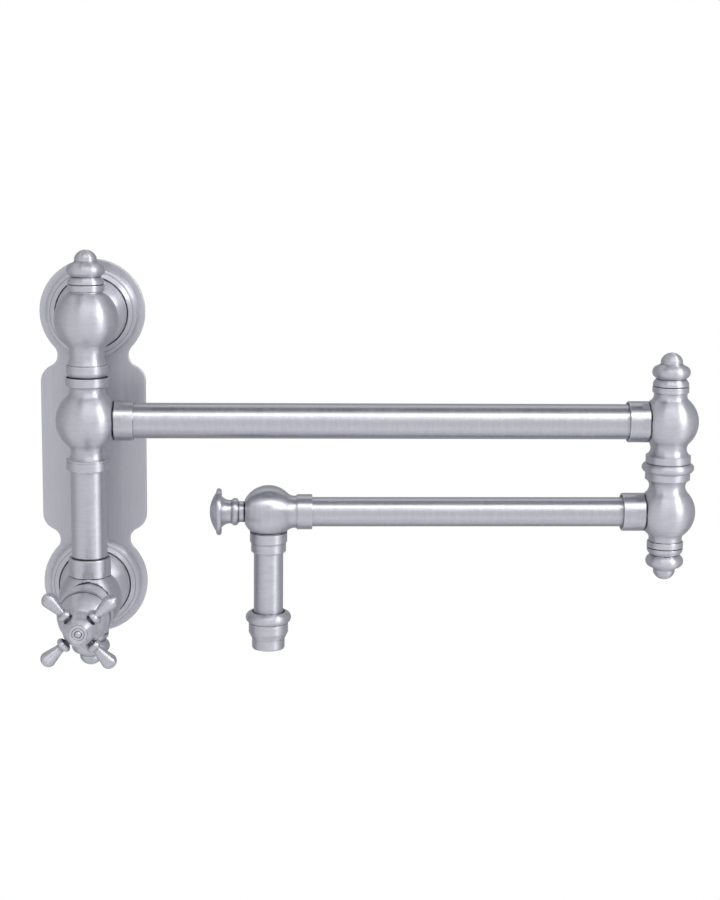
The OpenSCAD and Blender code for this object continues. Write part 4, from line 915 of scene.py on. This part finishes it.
def makeSpoutBody(c):
    hollow, lean = waist(c.ball, c.neck, c.throat, c.collar - 0.1, c.flare, c.collarFrom)
    flatEdge = np.sqrt(c.ball ** 2 - c.face ** 2)
    flatLean = arcSin(c.face / c.ball)
    rows = chain((0, -c.face), (flatEdge, -c.face, 0.3), arc((0, 0), c.ball, -flatLean + 2, lean, 64), hollow,
                 (c.collar, c.collarFrom, 0.3), (c.collar, c.collarTo, 0.4), (0, c.collarTo))
    # painted shade on the rim of the ball's flat face, where the knob sits
    obj = turned("spoutBody", rows, spoutBall, "right", joints=[grime(-c.face, -c.face + 0.2)])
    branched(obj, c.boss, c.bossDown, spoutBall, "down")
    bored(obj, (c.socket, c.collarTo - c.seat, c.collarTo + 1, spoutBall, "right"),
          (c.way, 0.5, c.collarTo - 2, spoutBall, "right"),
          (c.cartridge, c.cartridgeBack, c.ball + 1, spoutBall, "left"),
          (c.way, 0.3, c.bossDown + 1, spoutBall, "down"))
    finished(obj, "second_arm", "spout_body")


def makeSpoutNut(c):
    foot = c.nutTop + c.nutHeight
    last = foot + c.chamfer + c.stepHeight
    low, cut, clear = last + c.chamfer, c.ball + c.ballGap, c.boss + 0.1
    ballEdge = np.sqrt(cut ** 2 - c.nut ** 2)
    rows = row((clear, c.nutFrom, 0.05), (c.nut, c.nutFrom), (c.nut, ballEdge + 0.5), (c.nut, ballEdge + 0.8),
               (c.nut, foot, 0.8), (c.step, foot + c.chamfer, 0.9), (c.step, last, 0.3),
               (c.step - c.chamfer, low, 0.3), (c.socket, low, 0.1), (c.socket, c.bossDown), (clear, c.bossDown))
    # painted shade where the nut meets the ball
    joints = [grime(c.nutFrom, ballEdge + 0.5)]
    obj = turned("spoutNut", rows, spoutBall, "down", closed=True, steps=144, joints=joints)
    ball = turned("ballCut", arc((0, 0), cut, -90, 90, 96), spoutBall, "down", steps=144)
    finished(combine(obj, ball, "DIFFERENCE"), "second_arm", "spout_nut")


aerator = named(top=-8.5, length=24, bead=14.4, beadHeight=7.4, body=12.5, taperFrom=-21.7, taperTo=-26.0,
                end=10.4, tube=9.4, mouth=9.8, lip=8.4)


def makeAerator(c):
    half, top, foot = c.beadHeight / 2, c.top, c.top - c.length
    rows = chain(
        (c.lip, foot, 0.2), (c.end - 0.5, foot, 0.3), (c.end, foot + 1, 0.3), (c.end, c.taperTo, 1.1),
        (c.body, c.taperFrom, 0.6), (c.body, top - c.beadHeight + 0.4, 0.4),
        arc((c.bead - half, top - half), half, -52, 84, 26), (10.7, top - 0.01), (10.5, top - 0.02),
        (c.mouth, top - 0.02, 0.3), (c.mouth, top - 1), (c.tube, top - 1), (c.tube, foot + 1), (c.lip, foot + 1))
    # painted shade in the aerator's mouth round the tube
    joints = [grime(top - 1.01, top, 10.6)]
    obj = turned("aeratorHousing", rows, spoutBall * [1, 1, 0], "up", closed=True, steps=144, joints=joints)
    finished(obj, "second_arm", "aerator_housing")


knob = named(base=15.4, end=37, seatAt=15.0, neck=6.6, bead=8.7, beadAt=21.06, beadHeight=4.6, waist=7.4,
             waistAt=24.04, rim=14.8, rimAt=31.17, rimHeight=3.4, dome=20.5, hexHole=2.5, hexDepth=9.1)


def makeKnob(c):
    neck, base, halfBead, halfRim = c.neck, c.base, c.beadHeight / 2, c.rimHeight / 2
    cove = c.rimAt - c.waistAt
    edge = c.rim - halfRim
    coveEnd = arcCos((c.waist + cove - edge) / cove)
    domeFrom = arcCos((edge - 1.0) / c.dome)
    rows = chain(
        (0, c.seatAt), (neck, c.seatAt, 0.1), (neck, base + 0.3), (neck, base + 0.5),
        (neck, c.beadAt - halfBead, 0.4), arc((c.bead - halfBead, c.beadAt), halfBead, -66, 50, 22),
        (c.waist, c.waistAt - 0.5, 0.5), arc((c.waist + cove, c.waistAt), cove, 178, 180 - coveEnd + 4, 24),
        arc((edge, c.rimAt), halfRim, -70, 75, 22), arc((0, c.end - c.dome), c.dome, domeFrom, 90, 30))
    # painted shade on the knob's neck in the gap at the ball
    obj = turned("spoutKnob", rows, spoutBall, "left", steps=160, joints=[grime(c.seatAt, base + 0.3)])
    bored(obj, (c.hexHole, base - 1, base + c.hexDepth, spoutBall, "left"), steps=6)
    finished(obj, "spout_knob", "spout_knob")


makeSpoutBody(spout)
makeSpoutNut(spout)
makeTube("spoutTube", spoutTube)
makeAerator(aerator)
makeKnob(knob)
print("spout made")

# Floor, cards, lamps and world
stage = named(floorAt=-0.3, floorSize=3.0, middle=(0.18, -0.14), shadowFrom=0.12, shadowTo=0.26)
cards = {
    "above": named(middle=(0.2, -0.05, 2.2), u=(1.2, 0, 0), v=(0, -0.7, 0), tones=(0.2, 0.2)),
    "rightHand": named(middle=(2.2, 1.4, 0.3), u=(0, 1.9, 0), v=(0, 0, -2.5), tones=(0.85, 0.5)),
    "leftHand": named(middle=(-2.0, 1.2, 0.3), u=(0, 2.2, 0), v=(0, 0, 2.5), tones=(0.85, 0.5)),
    "behind": named(middle=(0.2, 2.2, 0.4), u=(2.4, 0, 0), v=(0, 0, -2.0), tones=(0.5, 0.5)),
    "below": named(middle=(0.2, 0.75, -0.28), u=(1.2, 0, 0), v=(0, 0.75, 0), tones=(0.5, 0.5)),
    "frontLow": named(middle=(0.3, -0.55, -0.28), u=(0.5, 0, 0), v=(0, 0.28, 0), tones=(1.15, 1.15))}
cardLook = named(colour=(0.97, 0.97, 1, 1), secondToneFrom=0.6)  # the share of u


def flatPanel(name, middle, uWay, vWay, count=17):
    # a flat grid of points: middle + uWay * u + vWay * v, with u and v from -1 to 1
    share = np.linspace(-1, 1, count)
    u, v = np.meshgrid(share, share, indexing="ij")
    points = middle + u[..., None] * uWay + v[..., None] * vWay
    i = (np.arange(count - 1)[:, None] * count + np.arange(count - 1)).ravel()
    quads = np.stack([i, i + count, i + count + 1, i + 1], 1)
    mesh = bpy.data.meshes.new(name)
    mesh.from_pydata(points.reshape(-1, 3).tolist(), [], quads.tolist())
    across = ((u + 1) / 2).ravel().astype(np.float32)
    mesh.attributes.new("across", "FLOAT", "POINT").data.foreach_set("value", across)
    obj = addObject(name, mesh)
    return obj


def shinesFor(tree):
    # one for the rays that see or mirror the surroundings, nought for the rays that light the object
    path = add(tree, "LightPath").outputs
    seen = maths(tree, "MAXIMUM", path["Is Camera Ray"], path["Is Glossy Ray"])
    return maths(tree, "MAXIMUM", seen, path["Is Transmission Ray"])


def shadedBy(makeShader, name):
    # a material with the shader that the function makes in its node tree
    material, tree, shader = newMaterial(name)
    tree.nodes.remove(shader)
    fill(tree, tree.nodes["Material Output"], {"Surface": makeShader(tree).outputs[0]})
    return material


def makeFloor(c):
    # white to the eye away from the middle, where it is matt and takes the shadow; clear from below
    def shade(tree):
        offsets = [maths(tree, "SUBTRACT", at, middle) for at, middle in zip(objectAxes(tree), c.middle)]
        away = maths(tree, "SQRT", maths(tree, "ADD", *[times(tree, part, part) for part in offsets]))
        fade = times(tree, smooth(tree, away, c.shadowFrom, c.shadowTo), shinesFor(tree))
        matt = add(tree, "BsdfDiffuse", {"Color": (0.86, 0.86, 0.86, 1)})
        white = add(tree, "Emission", {"Color": (1, 1, 1, 1), "Strength": 1.0})
        above = add(tree, "MixShader", {0: fade, 1: matt.outputs[0], 2: white.outputs[0]})
        underneath = add(tree, "NewGeometry").outputs["Backfacing"]
        clear = add(tree, "BsdfTransparent")
        return add(tree, "MixShader", {0: underneath, 1: above.outputs[0], 2: clear.outputs[0]})

    half = c.floorSize / 2
    obj = flatPanel("floor", (*c.middle, c.floorAt), (half, 0, 0), (0, half, 0))
    obj.data.materials.append(shadedBy(shade, "paleFloor"))


def makeCard(name, c):
    # panel that only mirror rays meet: it draws darker lines beside the highlights; frontLow draws a pale one
    def shade(tree):
        across = add(tree, "Attribute", attribute_name="across").outputs["Fac"]
        tone = smooth(tree, across, 0, cardLook.secondToneFrom, *c.tones)
        return add(tree, "Emission", {"Color": cardLook.colour, "Strength": tone})

    obj = flatPanel(name + "Card", c.middle, c.u, c.v)
    obj.visible_camera = obj.visible_diffuse = obj.visible_shadow = False
    obj.data.materials.append(shadedBy(shade, name + "CardTone"))


makeFloor(stage)
for name, card in cards.items():
    makeCard(name, card)

lamps = {
    "right": named(place=(0.72, -0.5, 0.48), away=1.5, size=(0.5, 0.6), watts=8.0),
    "top": named(place=(0.1, -0.61, 0.79), away=1.5, size=(1.5, 0.28), watts=5.2)}
lampsFace = (0.18, -0.05, 0.09)


def makeLamp(name, c):
    data = bpy.data.lights.new(name, "AREA")
    data.shape = "RECTANGLE"
    data.size, data.size_y = c.size
    data.energy = c.watts
    obj = addObject(name, data)
    back = unit(np.array(c.place))
    side = unit(np.cross((0, 0, 1), back))
    aim(obj, side, np.cross(back, side), back, lampsFace + back * c.away)
    obj.visible_camera = False


for name, lamp in lamps.items():
    makeLamp(name, lamp)

surroundings = named(seen=1.0, lighting=0.75)


def makeWorld(c):
    world = bpy.data.worlds.new("surroundings")
    world.use_nodes = True
    tree = world.node_tree
    strength = maths(tree, "ADD", times(tree, shinesFor(tree), c.seen - c.lighting), c.lighting)
    fill(tree, tree.nodes["Background"], {"Color": (1, 1, 1, 1), "Strength": strength})
    scene.world = world


makeWorld(surroundings)
scene.view_settings.view_transform = "Standard"
print("stage and lights made")
